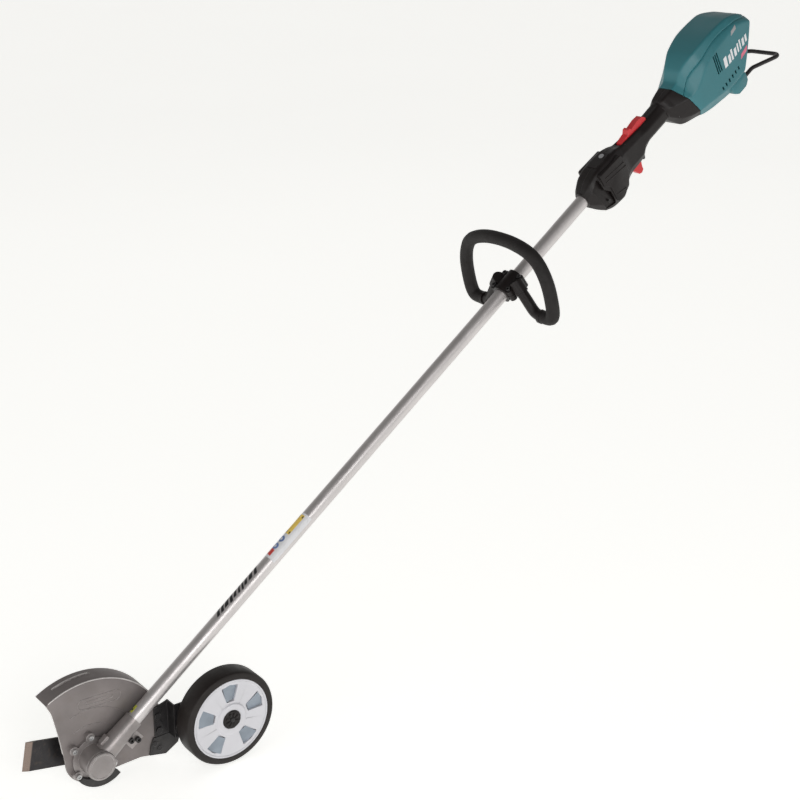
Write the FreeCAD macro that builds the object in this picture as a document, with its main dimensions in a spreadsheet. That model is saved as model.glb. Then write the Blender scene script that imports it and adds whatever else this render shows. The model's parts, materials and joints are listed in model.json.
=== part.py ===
"""Cordless lawn edger: a blade, guard and depth wheel at the foot of a long pipe, with a loop handle,
a rear grip with its controls and a motor housing at the top.

Two local frames are used, both with their origin where the pipe's axis crosses the blade spindle's axis:
  head frame   x to the operator's left, y back towards the operator, z up
  shaft frame  the head frame tilted about x by shaft_pitch, so that y runs up the pipe
The finished parts stand in the row's frame, +Z up, with the ground at z = 0.
"""
import FreeCAD, Part
import math
import os
from types import SimpleNamespace

import Sketcher

V = FreeCAD.Vector

# ---------------------------------------------------------------- driving dimensions (mm, degrees)
DIMENSIONS = {
    "shaft_pitch": 36.85, "head_height": 59.6, "origin_back": 711.1,
    # pipe and drive shaft
    "pipe_outer": 25.4, "pipe_wall": 1.6, "pipe_start": 46, "pipe_finish": 1578,
    "shaft_radius": 4, "shaft_start": 30, "joint_station": 1594, "run_gap": 0.05,
    "bush_length": 20, "bush_first": 200, "bush_pitch": 264,
    # gear head
    "case_barrel": 25.5, "case_face": 15, "case_flange": 35, "case_seat": 19.5, "flange_thick": 5.5,
    "nose_radius": 20, "nose_finish": 38, "neck_root": 19, "neck_radius": 15.4, "neck_finish": 88,
    "cavity_radius": 21.5, "cavity_back": 17.5, "cap_radius": 24.5, "cap_thick": 6,
    "lug_radius": 7.5, "lug_depth": 9.5,
    "spindle_radius": 6, "spindle_tail": 5, "spindle_finish": 68,
    "bearing_radius": 14, "bearing_width": 8, "tail_bearing": 11,
    "cone_distance": 20.4, "tooth_face": 6, "gear_teeth": 20, "pinion_teeth": 12,
    # blade
    "blade_length": 206, "blade_width": 52, "blade_thick": 3, "blade_back": 53, "blade_tilt": 11.5,
    # guard
    "guard_radius": 136.5, "guard_thick": 2.5, "guard_depth": 58, "guard_foot": 46,
    "lip_radius": 49,
    # wheel and its arm
    "axle_back": 219, "axle_rise": 24, "axle_radius": 6, "wheel_radius": 83.6, "hub_radius": 71,
    "wheel_inner": 18, "wheel_width": 40, "pivot_back": 153, "pivot_rise": 8,
    "clamp_reach": 36, "clamp_angle": 45, "arm_inner": 6.3, "arm_thick": 3.5,
    # loop handle
    "loop_station": 1087, "loop_lift": 15, "loop_lean": 21.5, "loop_core": 7, "loop_grip": 12.3,
    "clamp_start": 1060, "clamp_finish": 1106, "clamp_radius": 18,
    # rear housings
    "wall": 3, "rear_low": 1716, "rear_high": 1791,
}

doc = FreeCAD.newDocument("lawn_edger")
sheet = doc.addObject("Spreadsheet::Sheet", "dim")
for row, (alias, amount) in enumerate(DIMENSIONS.items(), start=1):
    sheet.set(f"A{row}", alias)
    sheet.set(f"B{row}", str(amount))
    sheet.setAlias(f"B{row}", alias)
doc.recompute()


class Size:
    """A length worked out from the sheet: its value now and the expression that keeps it bound."""

    def __init__(self, value, text):
        self.value = float(value)
        self.text = text

    def _join(self, sign, other, value):
        return Size(value, f"({self.text} {sign} {text_of(other)})")

    def __add__(self, other):
        return self._join("+", other, self.value + float(other))

    def __sub__(self, other):
        return self._join("-", other, self.value - float(other))

    def __mul__(self, other):
        return self._join("*", other, self.value * float(other))

    def __truediv__(self, other):
        return self._join("/", other, self.value / float(other))

    def __neg__(self):
        return self * -1

    def __radd__(self, other):
        return self + other

    def __rsub__(self, other):
        return -self + other

    def __rmul__(self, other):
        return self * other

    def __float__(self):
        return self.value


def text_of(size):
    return size.text if isinstance(size, Size) else repr(float(size))


d = SimpleNamespace(**{alias: Size(sheet.get(alias), f"dim.{alias}") for alias in DIMENSIONS})
mm = SimpleNamespace(**{alias: float(sheet.get(alias)) for alias in DIMENSIONS})

# ---------------------------------------------------------------- placements
GROUND = V(0, -mm.origin_back, mm.head_height)
HEAD = FreeCAD.Placement(GROUND, FreeCAD.Rotation())
SHAFT = FreeCAD.Placement(GROUND, FreeCAD.Rotation(V(1, 0, 0), mm.shaft_pitch))
TURN = {"x": FreeCAD.Rotation(V(0, 1, 0), 90), "y": FreeCAD.Rotation(V(1, 0, 0), -90),
        "z": FreeCAD.Rotation()}
nodes = {}


# ---------------------------------------------------------------- modelling helpers
def bind(item, **sizes):
    """Set properties of an object, each bound to the sheet where it is a Size."""
    for name, size in sizes.items():
        if isinstance(size, Size):
            item.setExpression(name, size.text)
        else:
            setattr(item, name, size)


def locate(item, corner, rotation=None):
    """Put a primitive at a point, each coordinate bound to the sheet where it is a Size."""
    item.Placement = FreeCAD.Placement(V(*[float(c) for c in corner]), rotation or FreeCAD.Rotation())
    for letter, coordinate in zip("xyz", corner):
        if isinstance(coordinate, Size):
            item.setExpression(f".Placement.Base.{letter}", coordinate.text)


def rod(radius, start, finish, along="x", at=(0, 0)):
    """A cylinder parallel to x, y or z from start to finish, its axis through at."""
    item = doc.addObject("Part::Cylinder", "rod")
    bind(item, Radius=radius, Height=finish - start)
    corner = {"x": (start, at[0], at[1]), "y": (at[0], start, at[1]), "z": (at[0], at[1], start)}[along]
    locate(item, corner, TURN[along])
    return item


def taper(radius_start, radius_finish, start, finish, along="x", at=(0, 0)):
    """A cone parallel to x, y or z from start to finish."""
    item = doc.addObject("Part::Cone", "taper")
    bind(item, Radius1=radius_start, Radius2=radius_finish, Height=finish - start)
    corner = {"x": (start, at[0], at[1]), "y": (at[0], start, at[1]), "z": (at[0], at[1], start)}[along]
    locate(item, corner, TURN[along])
    return item


def block(x, y, z):
    """A box from its (low, high) pairs along x, y and z."""
    item = doc.addObject("Part::Box", "block")
    bind(item, Length=x[1] - x[0], Width=y[1] - y[0], Height=z[1] - z[0])
    locate(item, (x[0], y[0], z[0]))
    return item


def fuse(*items):
    item = doc.addObject("Part::MultiFuse", "fuse")
    item.Shapes = list(items)
    return item


def cut(base, *tools):
    item = doc.addObject("Part::Cut", "cut")
    item.Base = base
    item.Tool = tools[0] if len(tools) == 1 else fuse(*tools)
    return item


def common(first, second):
    item = doc.addObject("Part::Common", "common")
    item.Base = first
    item.Tool = second
    return item


def group(*items):
    item = doc.addObject("Part::Compound", "group")
    item.Links = list(items)
    return item


def feature(shape):
    item = doc.addObject("Part::Feature", "feature")
    item.Shape = shape
    return item


def polygon_sketch(body, plane, corners, offset=0.0):
    """A closed sketch whose corners are each held to the body's origin by bound distances."""
    sketch = body.newObject("Sketcher::SketchObject", "outline")
    sketch.AttachmentSupport = [([p for p in body.Origin.OriginFeatures if p.Role == plane][0], "")]
    sketch.MapMode = "FlatFace"
    sketch.AttachmentOffset = FreeCAD.Placement(V(0, 0, float(offset)), FreeCAD.Rotation())
    points = [V(float(across), float(up), 0) for across, up in corners]
    for index, point in enumerate(points):
        sketch.addGeometry(Part.LineSegment(point, points[(index + 1) % len(points)]))
    for index in range(len(points)):
        sketch.addConstraint(Sketcher.Constraint("Coincident", index, 2, (index + 1) % len(points), 1))
    for index, corner in enumerate(corners):
        for kind, distance in zip(("DistanceX", "DistanceY"), corner):
            number = sketch.addConstraint(Sketcher.Constraint(kind, -1, 1, index, 1, float(distance)))
            if isinstance(distance, Size):
                sketch.setExpression(f"Constraints[{number}]", distance.text)
    return sketch


def turned(profile, along="x"):
    """A body of revolution about x or y, from (place along the axis, radius) corners."""
    body = doc.addObject("PartDesign::Body", "turned")
    sketch = polygon_sketch(body, {"x": "XY_Plane", "y": "YZ_Plane"}[along], profile)
    revolution = body.newObject("PartDesign::Revolution", "revolution")
    revolution.Profile = sketch
    revolution.ReferenceAxis = (sketch, ["H_Axis"])
    revolution.Angle = 360
    body.Tip = revolution
    return body


def plate(outline, start, finish):
    """A body padded along x from start to finish, from its (y, z) outline."""
    body = doc.addObject("PartDesign::Body", "plate")
    sketch = polygon_sketch(body, "YZ_Plane", outline, offset=start)
    pad = body.newObject("PartDesign::Pad", "pad")
    pad.Profile = sketch
    bind(pad, Length=finish - start)
    body.Tip = pad
    return body


def ring(inner, outer, start, finish, along="x", at=(0, 0)):
    return cut(rod(outer, start, finish, along, at), rod(inner, start - 1, finish + 1, along, at))


def hexagon(across_flats, start, finish, at=(0, 0)):
    """A hexagonal prism along x."""
    item = doc.addObject("Part::Prism", "hexagon")
    bind(item, Polygon=6, Circumradius=across_flats / math.sqrt(3), Height=finish - start)
    locate(item, (start, at[0], at[1]), TURN["x"])
    return item


def polar(radius, degrees):
    return (radius * math.cos(math.radians(degrees)), radius * math.sin(math.radians(degrees)))


def keep(node, item, frame):
    """Name a finished sub-part and stand it in the row's frame."""
    if item.TypeId in ("Part::Cylinder", "Part::Box", "Part::Cone", "Part::Prism"):
        item = group(item)
    item.Label = node
    item.Placement = frame.multiply(item.Placement)
    nodes[node] = item


def socket_screw(head_radius, head_height, radius, start, finish, at, along="x"):
    """A cap screw whose head sits at start and whose shank points towards finish."""
    way = 1 if float(finish) > float(start) else -1
    if way > 0:
        head = rod(head_radius, start, start + head_height, along, at)
        shank = rod(radius, start + head_height, finish, along, at)
        drive = rod(head_radius * 0.5, start - 1, start + head_height * 0.6, along, at)
    else:
        head = rod(head_radius, start - head_height, start, along, at)
        shank = rod(radius, finish, start - head_height, along, at)
        drive = rod(head_radius * 0.5, start - head_height * 0.6, start + 1, along, at)
    return cut(fuse(head, shank), drive)


# ---------------------------------------------------------------- gear head
PIPE_RADIUS = d.pipe_outer / 2
BARREL_FACE = d.case_face
SEAL_DEPTH = 4
NOSE_BEARING = -d.nose_finish + SEAL_DEPTH
LUGS = ((40, 95), (42, 142), (37, 217), (40, 327))
CLAMP_BOLTS = ((59, -16.8), (67, -26))
PINION_BEARINGS = (22, 34)


def lug_places():
    """Centres of the four guard lugs in the shaft frame, from their (radius, angle) in the head frame."""
    return [polar(radius, angle - mm.shaft_pitch) for radius, angle in LUGS]


def gear_case():
    barrel = rod(d.case_barrel, -d.case_seat, BARREL_FACE)
    flange = rod(d.case_flange, -d.case_seat, -d.case_seat + d.flange_thick)
    nose = rod(d.nose_radius, -d.nose_finish, -d.case_seat)
    neck = taper(d.neck_root, d.neck_radius, 8, d.neck_finish, "y")
    clamp_lug = block((-9, 9), (50, 76), (-32, -8))
    lugs = [rod(d.lug_radius, -d.case_seat, -d.case_seat + d.lug_depth, "x", place) for place in lug_places()]
    webs = [rod(d.lug_radius - 1, -d.case_seat, -d.case_seat + d.flange_thick, "x",
                polar(radius - 6, angle - mm.shaft_pitch)) for radius, angle in LUGS]
    boss = block((-5, 5), (24, 40), (14, 22))
    outer = fuse(barrel, flange, nose, neck, clamp_lug, boss, *lugs, *webs)
    cavity = rod(d.cavity_radius, -d.cavity_back, BARREL_FACE + 1)
    nose_seat = rod(d.bearing_radius, -d.nose_finish - 1, NOSE_BEARING + d.bearing_width)
    nose_way = rod(9, NOSE_BEARING, -d.cavity_back + 1)
    neck_seat = rod(d.bearing_radius, 10, 42, "y")
    neck_way = rod(10, 40, 48, "y")
    pipe_seat = rod(PIPE_RADIUS, d.pipe_start, d.neck_finish + 1, "y")
    slit = block((-1, 1), (47, d.neck_finish + 1), (-40, 0))
    screws = [rod(2.5, -d.case_seat - 1, 0, "x", place) for place in lug_places()]
    bolts = [rod(3, -10, 10, "x", place) for place in CLAMP_BOLTS]
    bolts += [rod(5.1, 9, 20, "x", place) for place in CLAMP_BOLTS]
    cap_way = rod(d.cap_radius + 0.1, BARREL_FACE, BARREL_FACE + 10)
    keep("gear_case", cut(outer, cap_way, cavity, nose_seat, nose_way, neck_seat, neck_way, pipe_seat, slit,
                          *screws, *bolts), SHAFT)


def gear_case_cap():
    face = BARREL_FACE + d.cap_thick
    disc = turned([(BARREL_FACE, 0), (BARREL_FACE, d.cap_radius), (face - 1.5, d.cap_radius),
                   (face, d.cap_radius - 1.5), (face, d.cap_radius - 4), (face - 0.6, d.cap_radius - 4.6),
                   (face - 0.6, 0)])
    stub = rod(d.cavity_radius, BARREL_FACE - 2.5, BARREL_FACE)
    seat = rod(d.tail_bearing, BARREL_FACE - 3, BARREL_FACE + 3.7)
    keep("gear_case_cap", cut(fuse(disc, stub), seat), SHAFT)


def neck_clamp_bolts():
    bolts = [socket_screw(4.8, 5.5, 3, 14.5, -9, place) for place in CLAMP_BOLTS]
    keep("neck_clamp_bolts", group(*bolts), SHAFT)


def bevel_teeth(count, pitch_angle, direction):
    """Straight bevel teeth: wedges that all narrow towards the point where the two axes cross.

    direction(cone angle, distance, side) gives a point of the first tooth.
    """
    root = pitch_angle - 7.0
    tip = pitch_angle + 3.3
    wires = []
    for distance in (mm.cone_distance, mm.cone_distance - mm.tooth_face):
        scale = distance / mm.cone_distance
        corners = [direction(root, distance, -1.5 * scale), direction(tip, distance, -0.5 * scale),
                   direction(tip, distance, 0.5 * scale), direction(root, distance, 1.5 * scale)]
        wires.append(Part.makePolygon(corners + corners[:1]))
    return Part.makeLoft(wires, True, True), 360.0 / count


GEAR_PITCH_ANGLE = math.degrees(math.atan(mm.gear_teeth / mm.pinion_teeth))


def bevel_gear():
    """Driven gear on the blade spindle, its first tooth towards the pinion."""
    root = math.radians(GEAR_PITCH_ANGLE - 5.3)
    rim = [(-distance * math.cos(root), distance * math.sin(root))
           for distance in (mm.cone_distance - mm.tooth_face, mm.cone_distance)]
    blank = turned([(rim[0][0], mm.spindle_radius), rim[0], rim[1], (-16.6, 15.2), (-16.6, mm.spindle_radius)])

    def point(angle, distance, side):
        angle = math.radians(angle)
        return V(-distance * math.cos(angle), distance * math.sin(angle), side)

    tooth, pitch = bevel_teeth(mm.gear_teeth, GEAR_PITCH_ANGLE, point)
    teeth = []
    for index in range(int(mm.gear_teeth)):
        teeth.append(tooth.rotated(V(0, 0, 0), V(1, 0, 0), index * pitch))
    keep("bevel_gear", fuse(blank, feature(Part.makeCompound(teeth))), SHAFT)


def bevel_pinion():
    """Driving pinion with its hollow shaft, a gap between two teeth facing the driven gear."""
    pitch_angle = 90 - GEAR_PITCH_ANGLE
    root = math.radians(pitch_angle - 5.3)
    rim = [(distance * math.cos(root), distance * math.sin(root))
           for distance in (mm.cone_distance - mm.tooth_face, mm.cone_distance)]
    blank = turned([(rim[0][0], 0), rim[0], rim[1], (20.6, 8.4), (20.6, 6), (44.5, 6), (44.5, 4), (30, 4),
                    (30, 0)], "y")

    def point(angle, distance, side):
        angle = math.radians(angle)
        return V(-distance * math.sin(angle), distance * math.cos(angle), side)

    tooth, pitch = bevel_teeth(mm.pinion_teeth, pitch_angle, point)
    teeth = []
    for index in range(int(mm.pinion_teeth)):
        teeth.append(tooth.rotated(V(0, 0, 0), V(0, 1, 0), (index + 0.5) * pitch))
    keep("bevel_pinion", fuse(blank, feature(Part.makeCompound(teeth))), SHAFT)


def output_spindle():
    keep("output_spindle", turned([(-d.spindle_finish, 0), (-d.spindle_finish, d.spindle_radius - 1),
                                   (-d.spindle_finish + 1, d.spindle_radius), (12.4, d.spindle_radius),
                                   (12.4, d.spindle_tail), (18.4, d.spindle_tail), (18.4, 0)]), SHAFT)


def bearings():
    gap = d.run_gap
    nose = ring(d.spindle_radius + gap, d.bearing_radius, NOSE_BEARING, NOSE_BEARING + d.bearing_width)
    tail = ring(d.spindle_tail + gap, d.tail_bearing, BARREL_FACE - 2.3, BARREL_FACE + 3.7)
    keep("spindle_bearings", group(nose, tail), SHAFT)
    rings = [ring(d.spindle_radius + gap, d.bearing_radius, start, start + d.bearing_width, "y")
             for start in PINION_BEARINGS]
    keep("pinion_bearings", group(*rings), SHAFT)
    keep("spindle_seal", ring(d.spindle_radius + gap, d.bearing_radius, -d.nose_finish,
                              -d.nose_finish + SEAL_DEPTH - 0.5), SHAFT)


def blade_set():
    """The bar blade between its two washers, held by a nut."""
    back = -d.blade_back
    front = back + d.blade_thick
    hub = turned([(front, d.spindle_radius), (front, 22), (front + 4, 22), (front + 4, 13), (-40, 12),
                  (-40, d.spindle_radius)])
    keep("blade_inner_washer", hub, HEAD)
    bar = block((back, front), (-d.blade_length / 2, d.blade_length / 2),
                (-d.blade_width / 2, d.blade_width / 2))
    bevels = []
    for side in (-1, 1):
        for edge in (-1, 1):
            wedge = plate([(side * 120, edge * 27), (side * 60, edge * 27), (side * 120, edge * 25)], back - 1,
                          front + 1)
            bevels.append(wedge)
    bore = rod(d.spindle_radius, back - 1, front + 1)
    shape = cut(bar, bore, *bevels)
    ground = []
    for side in (-1, 1):
        tip = mm.blade_length / 2 * side
        inner = tip - 11 * side
        triangle = Part.makePolygon([V(-mm.blade_back + 3.2, tip * 1.01, -40), V(-mm.blade_back + 3.2, inner, -40),
                                     V(-mm.blade_back + 1, tip * 1.01, -40),
                                     V(-mm.blade_back + 3.2, tip * 1.01, -40)])
        ground.append(feature(Part.Face(triangle).extrude(V(0, 0, 80))))
    blade = cut(shape, *ground)
    tilted = FreeCAD.Placement(GROUND, FreeCAD.Rotation(V(1, 0, 0), -mm.blade_tilt))
    keep("blade", blade, tilted)
    outer = turned([(back, d.spindle_radius), (back, 21), (back - 1, 21), (back - 4, 15),
                    (back - 4, d.spindle_radius)])
    keep("blade_outer_washer", outer, HEAD)
    nut = cut(fuse(hexagon(19, back - 13, back - 4), rod(12.5, back - 5.5, back - 4)),
              rod(d.spindle_radius, back - 14, back - 3))
    keep("blade_nut", nut, HEAD)


# ---------------------------------------------------------------- guard
PLATE_FRONT = -d.case_seat
PLATE_BACK = PLATE_FRONT - d.guard_thick
RIVETS = ((114, -20), (122, -31))
BRACKET_BOLTS = ((123, 3), (121, 30))
SKIN = 3


def blade_guard():
    """A pressed fan: a flat plate beside the blade and a roof that turns over its edge."""
    roof = d.guard_radius
    sheet_thick = d.guard_thick
    pressing = turned([(PLATE_FRONT, 10), (PLATE_FRONT, roof - 5), (PLATE_FRONT - 1.5, roof - 1.5),
                       (PLATE_FRONT - 5, roof), (-d.guard_depth, roof), (-d.guard_depth, roof - sheet_thick),
                       (PLATE_FRONT - 5.5, roof - sheet_thick), (PLATE_BACK - 0.8, roof - 3.8),
                       (PLATE_BACK, roof - 6), (PLATE_BACK, 10)])
    fan = plate([(-90, 160), (-62, 100), (-54, 60), (-48, 20), (-44, -14), (0, -20), (40, -38), (88, -37),
                 (126, -45), (160, -56), (170, 60), (120, 160)], -70, -10)
    foot = rod(d.guard_foot, -d.guard_depth - 1, -10)
    foot_plate = common(foot, block((PLATE_BACK - 0.01, PLATE_FRONT + 0.01), (-60, 60), (-60, 60)))
    rib = cut(rod(roof + 1.4, -46, -41), rod(roof - 1, -47, -40))
    rib_fan = plate([(0, 0), (-60, 160), (20, 160)], -50, -38)
    shape = fuse(common(fuse(pressing, common(rib, rib_fan)), fan), common(pressing, foot_plate))
    tools = [rod(d.nose_radius + 0.3, -30, -10)]
    for lug in LUGS:
        tools.append(rod(2.5, -30, -10, "x", polar(*lug)))
    for place in RIVETS:
        tools.append(rod(2, -30, -10, "x", place))
    for place in BRACKET_BOLTS:
        tools.append(rod(3, -30, -10, "x", place))
    keep("blade_guard", cut(shape, *tools), HEAD)


def guard_fasteners():
    screws = []
    for lug in LUGS:
        place = polar(*lug)
        screw = socket_screw(4.2, 4, 2.5, -mm.case_seat + mm.lug_depth + 4, -27, place)
        nut = cut(hexagon(8, -25.6, PLATE_BACK, place), rod(2.5, -27, -20, "x", place))
        screws += [screw, nut]
    keep("guard_screws", group(*screws), HEAD)


def guard_lip():
    """A rubber wear lip along the plate's lower edge, under the gear case."""
    lugs = [rod(d.lug_radius + 0.2, -60, 0, "x", polar(*lug)) for lug in LUGS]
    band = cut(rod(d.lip_radius, PLATE_FRONT, PLATE_FRONT + 12, "x", (12, -5)), rod(d.case_flange + 0.2, -60, 0),
               *lugs)
    sector = plate([(0, 0), polar(90, 222), polar(90, 270), polar(90, 316)], -40, 0)
    keep("guard_lower_lip", common(band, sector), HEAD)


def debris_flap():
    outer_face = PLATE_FRONT + SKIN
    flap = plate([(103, -39), (133, -46), (157, -32), (161, -20), (150, -9), (112, -9), (107, -20)], PLATE_FRONT,
                 outer_face)
    holes = [rod(2, -40, -10, "x", place) for place in RIVETS]
    keep("debris_flap", cut(flap, *holes), HEAD)
    rivets = []
    for place in RIVETS:
        rivet = fuse(rod(2, PLATE_BACK - 1.2, outer_face + 1.4, "x", place),
                     rod(4.5, outer_face, outer_face + 1.4, "x", place),
                     rod(4, PLATE_BACK - 1.2, PLATE_BACK, "x", place))
        rivets.append(rivet)
    keep("flap_rivets", group(*rivets), HEAD)


# ---------------------------------------------------------------- wheel and arm
PIVOT = (d.pivot_back, d.pivot_rise)
AXLE = (d.axle_back, d.axle_rise)
CLAMP_OFFSET = polar(mm.clamp_reach, mm.clamp_angle)
CLAMP = (mm.pivot_back + CLAMP_OFFSET[0], mm.pivot_rise + CLAMP_OFFSET[1])
ARM_OUTER = d.arm_inner + d.arm_thick
ARM_GAP = 0.3
SWING = 12


def wheel_bracket():
    """A bent steel bracket: one face on the guard, one across, one beside the wheel."""
    outer_face = PLATE_FRONT + SKIN
    mount = plate([(115, -8), (143, -8), (143, 54), (115, 46)], PLATE_FRONT, outer_face)
    across = plate([(140, -8), (143, -8), (143, 54), (140, 54)], PLATE_FRONT, 6)
    side = plate([(140, -8), (160, -8), (190, 22), (190, 46), (172, 54), (140, 54)], 3, 6)
    holes = [rod(3, -30, -10, "x", place) for place in BRACKET_BOLTS]
    pivot = rod(5, 0, 10, "x", PIVOT)
    clamp = rod(4, 0, 10, "x", CLAMP)
    keep("wheel_bracket", cut(fuse(mount, across, side), pivot, clamp, *holes), HEAD)
    bolts = []
    for place in BRACKET_BOLTS:
        bolt = fuse(rod(5.5, outer_face, outer_face + 2.4, "x", place),
                    rod(3, PLATE_BACK - 5, outer_face, "x", place))
        nut = cut(hexagon(10, PLATE_BACK - 5, PLATE_BACK, place), rod(3, -40, -10, "x", place))
        bolts += [bolt, nut]
    keep("bracket_bolts", group(*bolts), HEAD)


def wheel_arm():
    pivot_end = rod(13, d.arm_inner, ARM_OUTER, "x", PIVOT)
    axle_end = rod(14, d.arm_inner, ARM_OUTER, "x", AXLE)
    link = plate([(146, -4), (222, 11), (216, 38), (150, 20)], d.arm_inner, ARM_OUTER)
    sector = plate([PIVOT] + [(mm.pivot_back + across, mm.pivot_rise + up) for across, up in
                              (polar(46, 22), polar(48, 38), polar(48, 54), polar(46, 70))],
                   d.arm_inner, ARM_OUTER)
    slot = slot_tool(mm.clamp_reach, 4.3, mm.clamp_angle - SWING, mm.clamp_angle + SWING)
    bore = rod(5 + d.run_gap, 0, 20, "x", PIVOT)
    axle = rod(d.axle_radius, 0, 20, "x", AXLE)
    keep("wheel_arm", cut(fuse(pivot_end, axle_end, link, sector), feature(slot), bore, axle), HEAD)


def slot_tool(reach, half_width, start, finish):
    """An arc-shaped slot about the pivot, from one angle to the other."""
    centre = V(mm.arm_inner - 1, mm.pivot_back, mm.pivot_rise)
    outer = Part.makeCylinder(reach + half_width, 6, centre, V(1, 0, 0))
    inner = Part.makeCylinder(reach - half_width, 6, centre, V(1, 0, 0))
    spread = [centre] + [centre + V(0, *polar(reach * 2, angle))
                         for angle in (start, (start + finish) / 2, finish)]
    wedge = Part.Face(Part.makePolygon(spread + spread[:1])).extrude(V(6, 0, 0))
    ends = [Part.makeCylinder(half_width, 6, centre + V(0, *polar(reach, angle)), V(1, 0, 0))
            for angle in (start, finish)]
    return outer.cut(inner).common(wedge).fuse(ends)


def arm_hardware():
    head = rod(9, ARM_OUTER + ARM_GAP, ARM_OUTER + ARM_GAP + 3.2, "x", PIVOT)
    shank = rod(5, 0, ARM_OUTER + ARM_GAP, "x", PIVOT)
    nut = hexagon(15, -2.5, 3, PIVOT)
    keep("arm_pivot_bolt", fuse(head, shank, nut), HEAD)
    head = rod(8, ARM_OUTER + ARM_GAP, ARM_OUTER + ARM_GAP + 2.8, "x", CLAMP)
    shank = rod(4, -13, ARM_OUTER + ARM_GAP, "x", CLAMP)
    keep("depth_clamp_bolt", fuse(head, shank), HEAD)
    grip = rod(13, -12, -2, "x", CLAMP)
    neck = rod(9, -2, 2.7, "x", CLAMP)
    flutes = []
    for index in range(6):
        across, up = polar(16, index * 60 + 30)
        flutes.append(rod(5.5, -13, -1, "x", (CLAMP[0] + across, CLAMP[1] + up)))
    bore = rod(4 + d.run_gap, -10, 4, "x", CLAMP)
    floor = rod(4 + d.run_gap, -14, -9, "x", CLAMP)
    keep("depth_clamp_knob", cut(fuse(grip, neck), bore, floor, *flutes), HEAD)


def wheel_set():
    inner = d.wheel_inner
    outer = d.wheel_inner + d.wheel_width
    axle = fuse(rod(d.axle_radius, d.arm_inner - 4, outer + 1.3, "x", AXLE),
                rod(10, d.arm_inner - 4, d.arm_inner, "x", AXLE), rod(9, ARM_OUTER, inner + 1.7, "x", AXLE))
    keep("wheel_axle", axle, HEAD)
    nut = cut(hexagon(15, outer - 3.7, outer + 1.2, AXLE), rod(d.axle_radius, outer - 5, outer + 3, "x", AXLE))
    keep("axle_nut", nut, HEAD)
    bushes = [ring(d.axle_radius + d.run_gap, 9, start, start + 8, "x", AXLE)
              for start in (inner + 2, outer - 12)]
    keep("wheel_bushings", group(*bushes), HEAD)
    around = FreeCAD.Placement(GROUND + V(0, mm.axle_back, mm.axle_rise), FreeCAD.Rotation())
    rim = mm.hub_radius
    hub = turned([(inner + 2, 9), (inner + 2, 22), (outer - 16, 27), (outer - 12, 34), (outer - 11, rim - 9),
                  (outer - 13, rim - 7.5), (inner + 2, rim - 6.5), (inner + 2, rim), (outer, rim),
                  (outer, rim - 3), (outer - 0.8, rim - 4), (outer - 0.8, 29), (outer + 1.6, 27),
                  (outer + 1.6, 17.5), (outer + 0.6, 16.5), (outer - 4, 16.5), (outer - 4, 9)])
    pockets = []
    for index in range(5):
        first, second = index * 72 + 3, index * 72 + 33
        corners = [polar(33, first + 3), polar(62, first), polar(63.5, (first + second) / 2), polar(62, second),
                   polar(33, second - 3)]
        pockets.append(plate(corners, outer - 6.5, outer + 2))
    keep("wheel_hub", cut(hub, *pockets), around)
    tread = mm.wheel_radius
    keep("wheel_tyre", turned([(inner, rim), (inner, tread - 5), (inner + 1.5, tread - 1.5), (inner + 5, tread),
                               (outer - 5, tread), (outer - 1.5, tread - 1.5), (outer, tread - 5),
                               (outer, rim)]), around)
    cap = turned([(outer - 1.5, 13), (outer - 1.5, 16.5), (outer + 2, 16.5), (outer + 3.2, 15), (outer + 3.2, 0),
                  (outer + 1.6, 0), (outer + 1.6, 13)])
    keep("wheel_centre_cap", cap, around)


# ---------------------------------------------------------------- pipe and drive shaft
def pipe_and_shaft():
    bore = PIPE_RADIUS - d.pipe_wall
    keep("main_pipe", ring(bore, PIPE_RADIUS, d.pipe_start, d.pipe_finish, "y"), SHAFT)
    keep("drive_shaft", rod(d.shaft_radius, d.shaft_start, d.joint_station, "y"), SHAFT)
    bushes = []
    for index in range(6):
        start = d.bush_first + d.bush_pitch * index
        bushes.append(ring(d.shaft_radius + d.run_gap, bore, start, start + d.bush_length, "y"))
    keep("drive_shaft_bushings", group(*bushes), SHAFT)


# ---------------------------------------------------------------- loop handle
LOOP = FreeCAD.Placement(V(0, mm.loop_station, mm.loop_lift), FreeCAD.Rotation(V(1, 0, 0), -mm.loop_lean))
LOOP_CORNERS = ((64, -59, 20), (112, -57, 26), (112, -4, 90), (85, 58, 40), (33, 80, 60))
ARM_END = (23, -5)


def rounded_path(corners):
    """Straight runs joined by tangent arcs, from (point, radius) corners; the end radii aren't used."""
    points = [point for point, radius in corners]
    edges = []
    last = points[0]
    for index in range(1, len(points) - 1):
        before, here, after = points[index - 1:index + 2]
        radius = corners[index][1]
        way_in = (here - before).normalize()
        way_out = (after - here).normalize()
        half = way_in.getAngle(way_out) / 2
        start = here - way_in * (radius * math.tan(half))
        finish = here + way_out * (radius * math.tan(half))
        middle = here + (way_out - way_in).normalize() * (radius / math.cos(half) - radius)
        edges.append(Part.LineSegment(last, start).toShape())
        edges.append(Part.Arc(start, middle, finish).toShape())
        last = finish
    edges.append(Part.LineSegment(last, points[-1]).toShape())
    return Part.Wire(edges)


def tube_along(path, radius):
    start = path.Vertexes[0].Point
    edge = path.Edges[0]
    tangent = edge.tangentAt(edge.FirstParameter)
    circle = Part.Wire(Part.makeCircle(radius, start, tangent))
    return path.makePipeShell([circle], True, True)


def loop_path(start_reach):
    """The handle's centre line from one arm's end round to the other's, start_reach along the first arm."""
    arm = V(ARM_END[0], 0, ARM_END[1])
    slope = (V(LOOP_CORNERS[0][0], 0, LOOP_CORNERS[0][1]) - arm).normalize()
    start = arm + slope * start_reach
    right = [(start, 0)] + [(V(across, 0, up), radius) for across, up, radius in LOOP_CORNERS]
    left = [(V(-point.x, 0, point.z), radius) for point, radius in reversed(right)]
    return rounded_path(right + left), arm, slope


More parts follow.
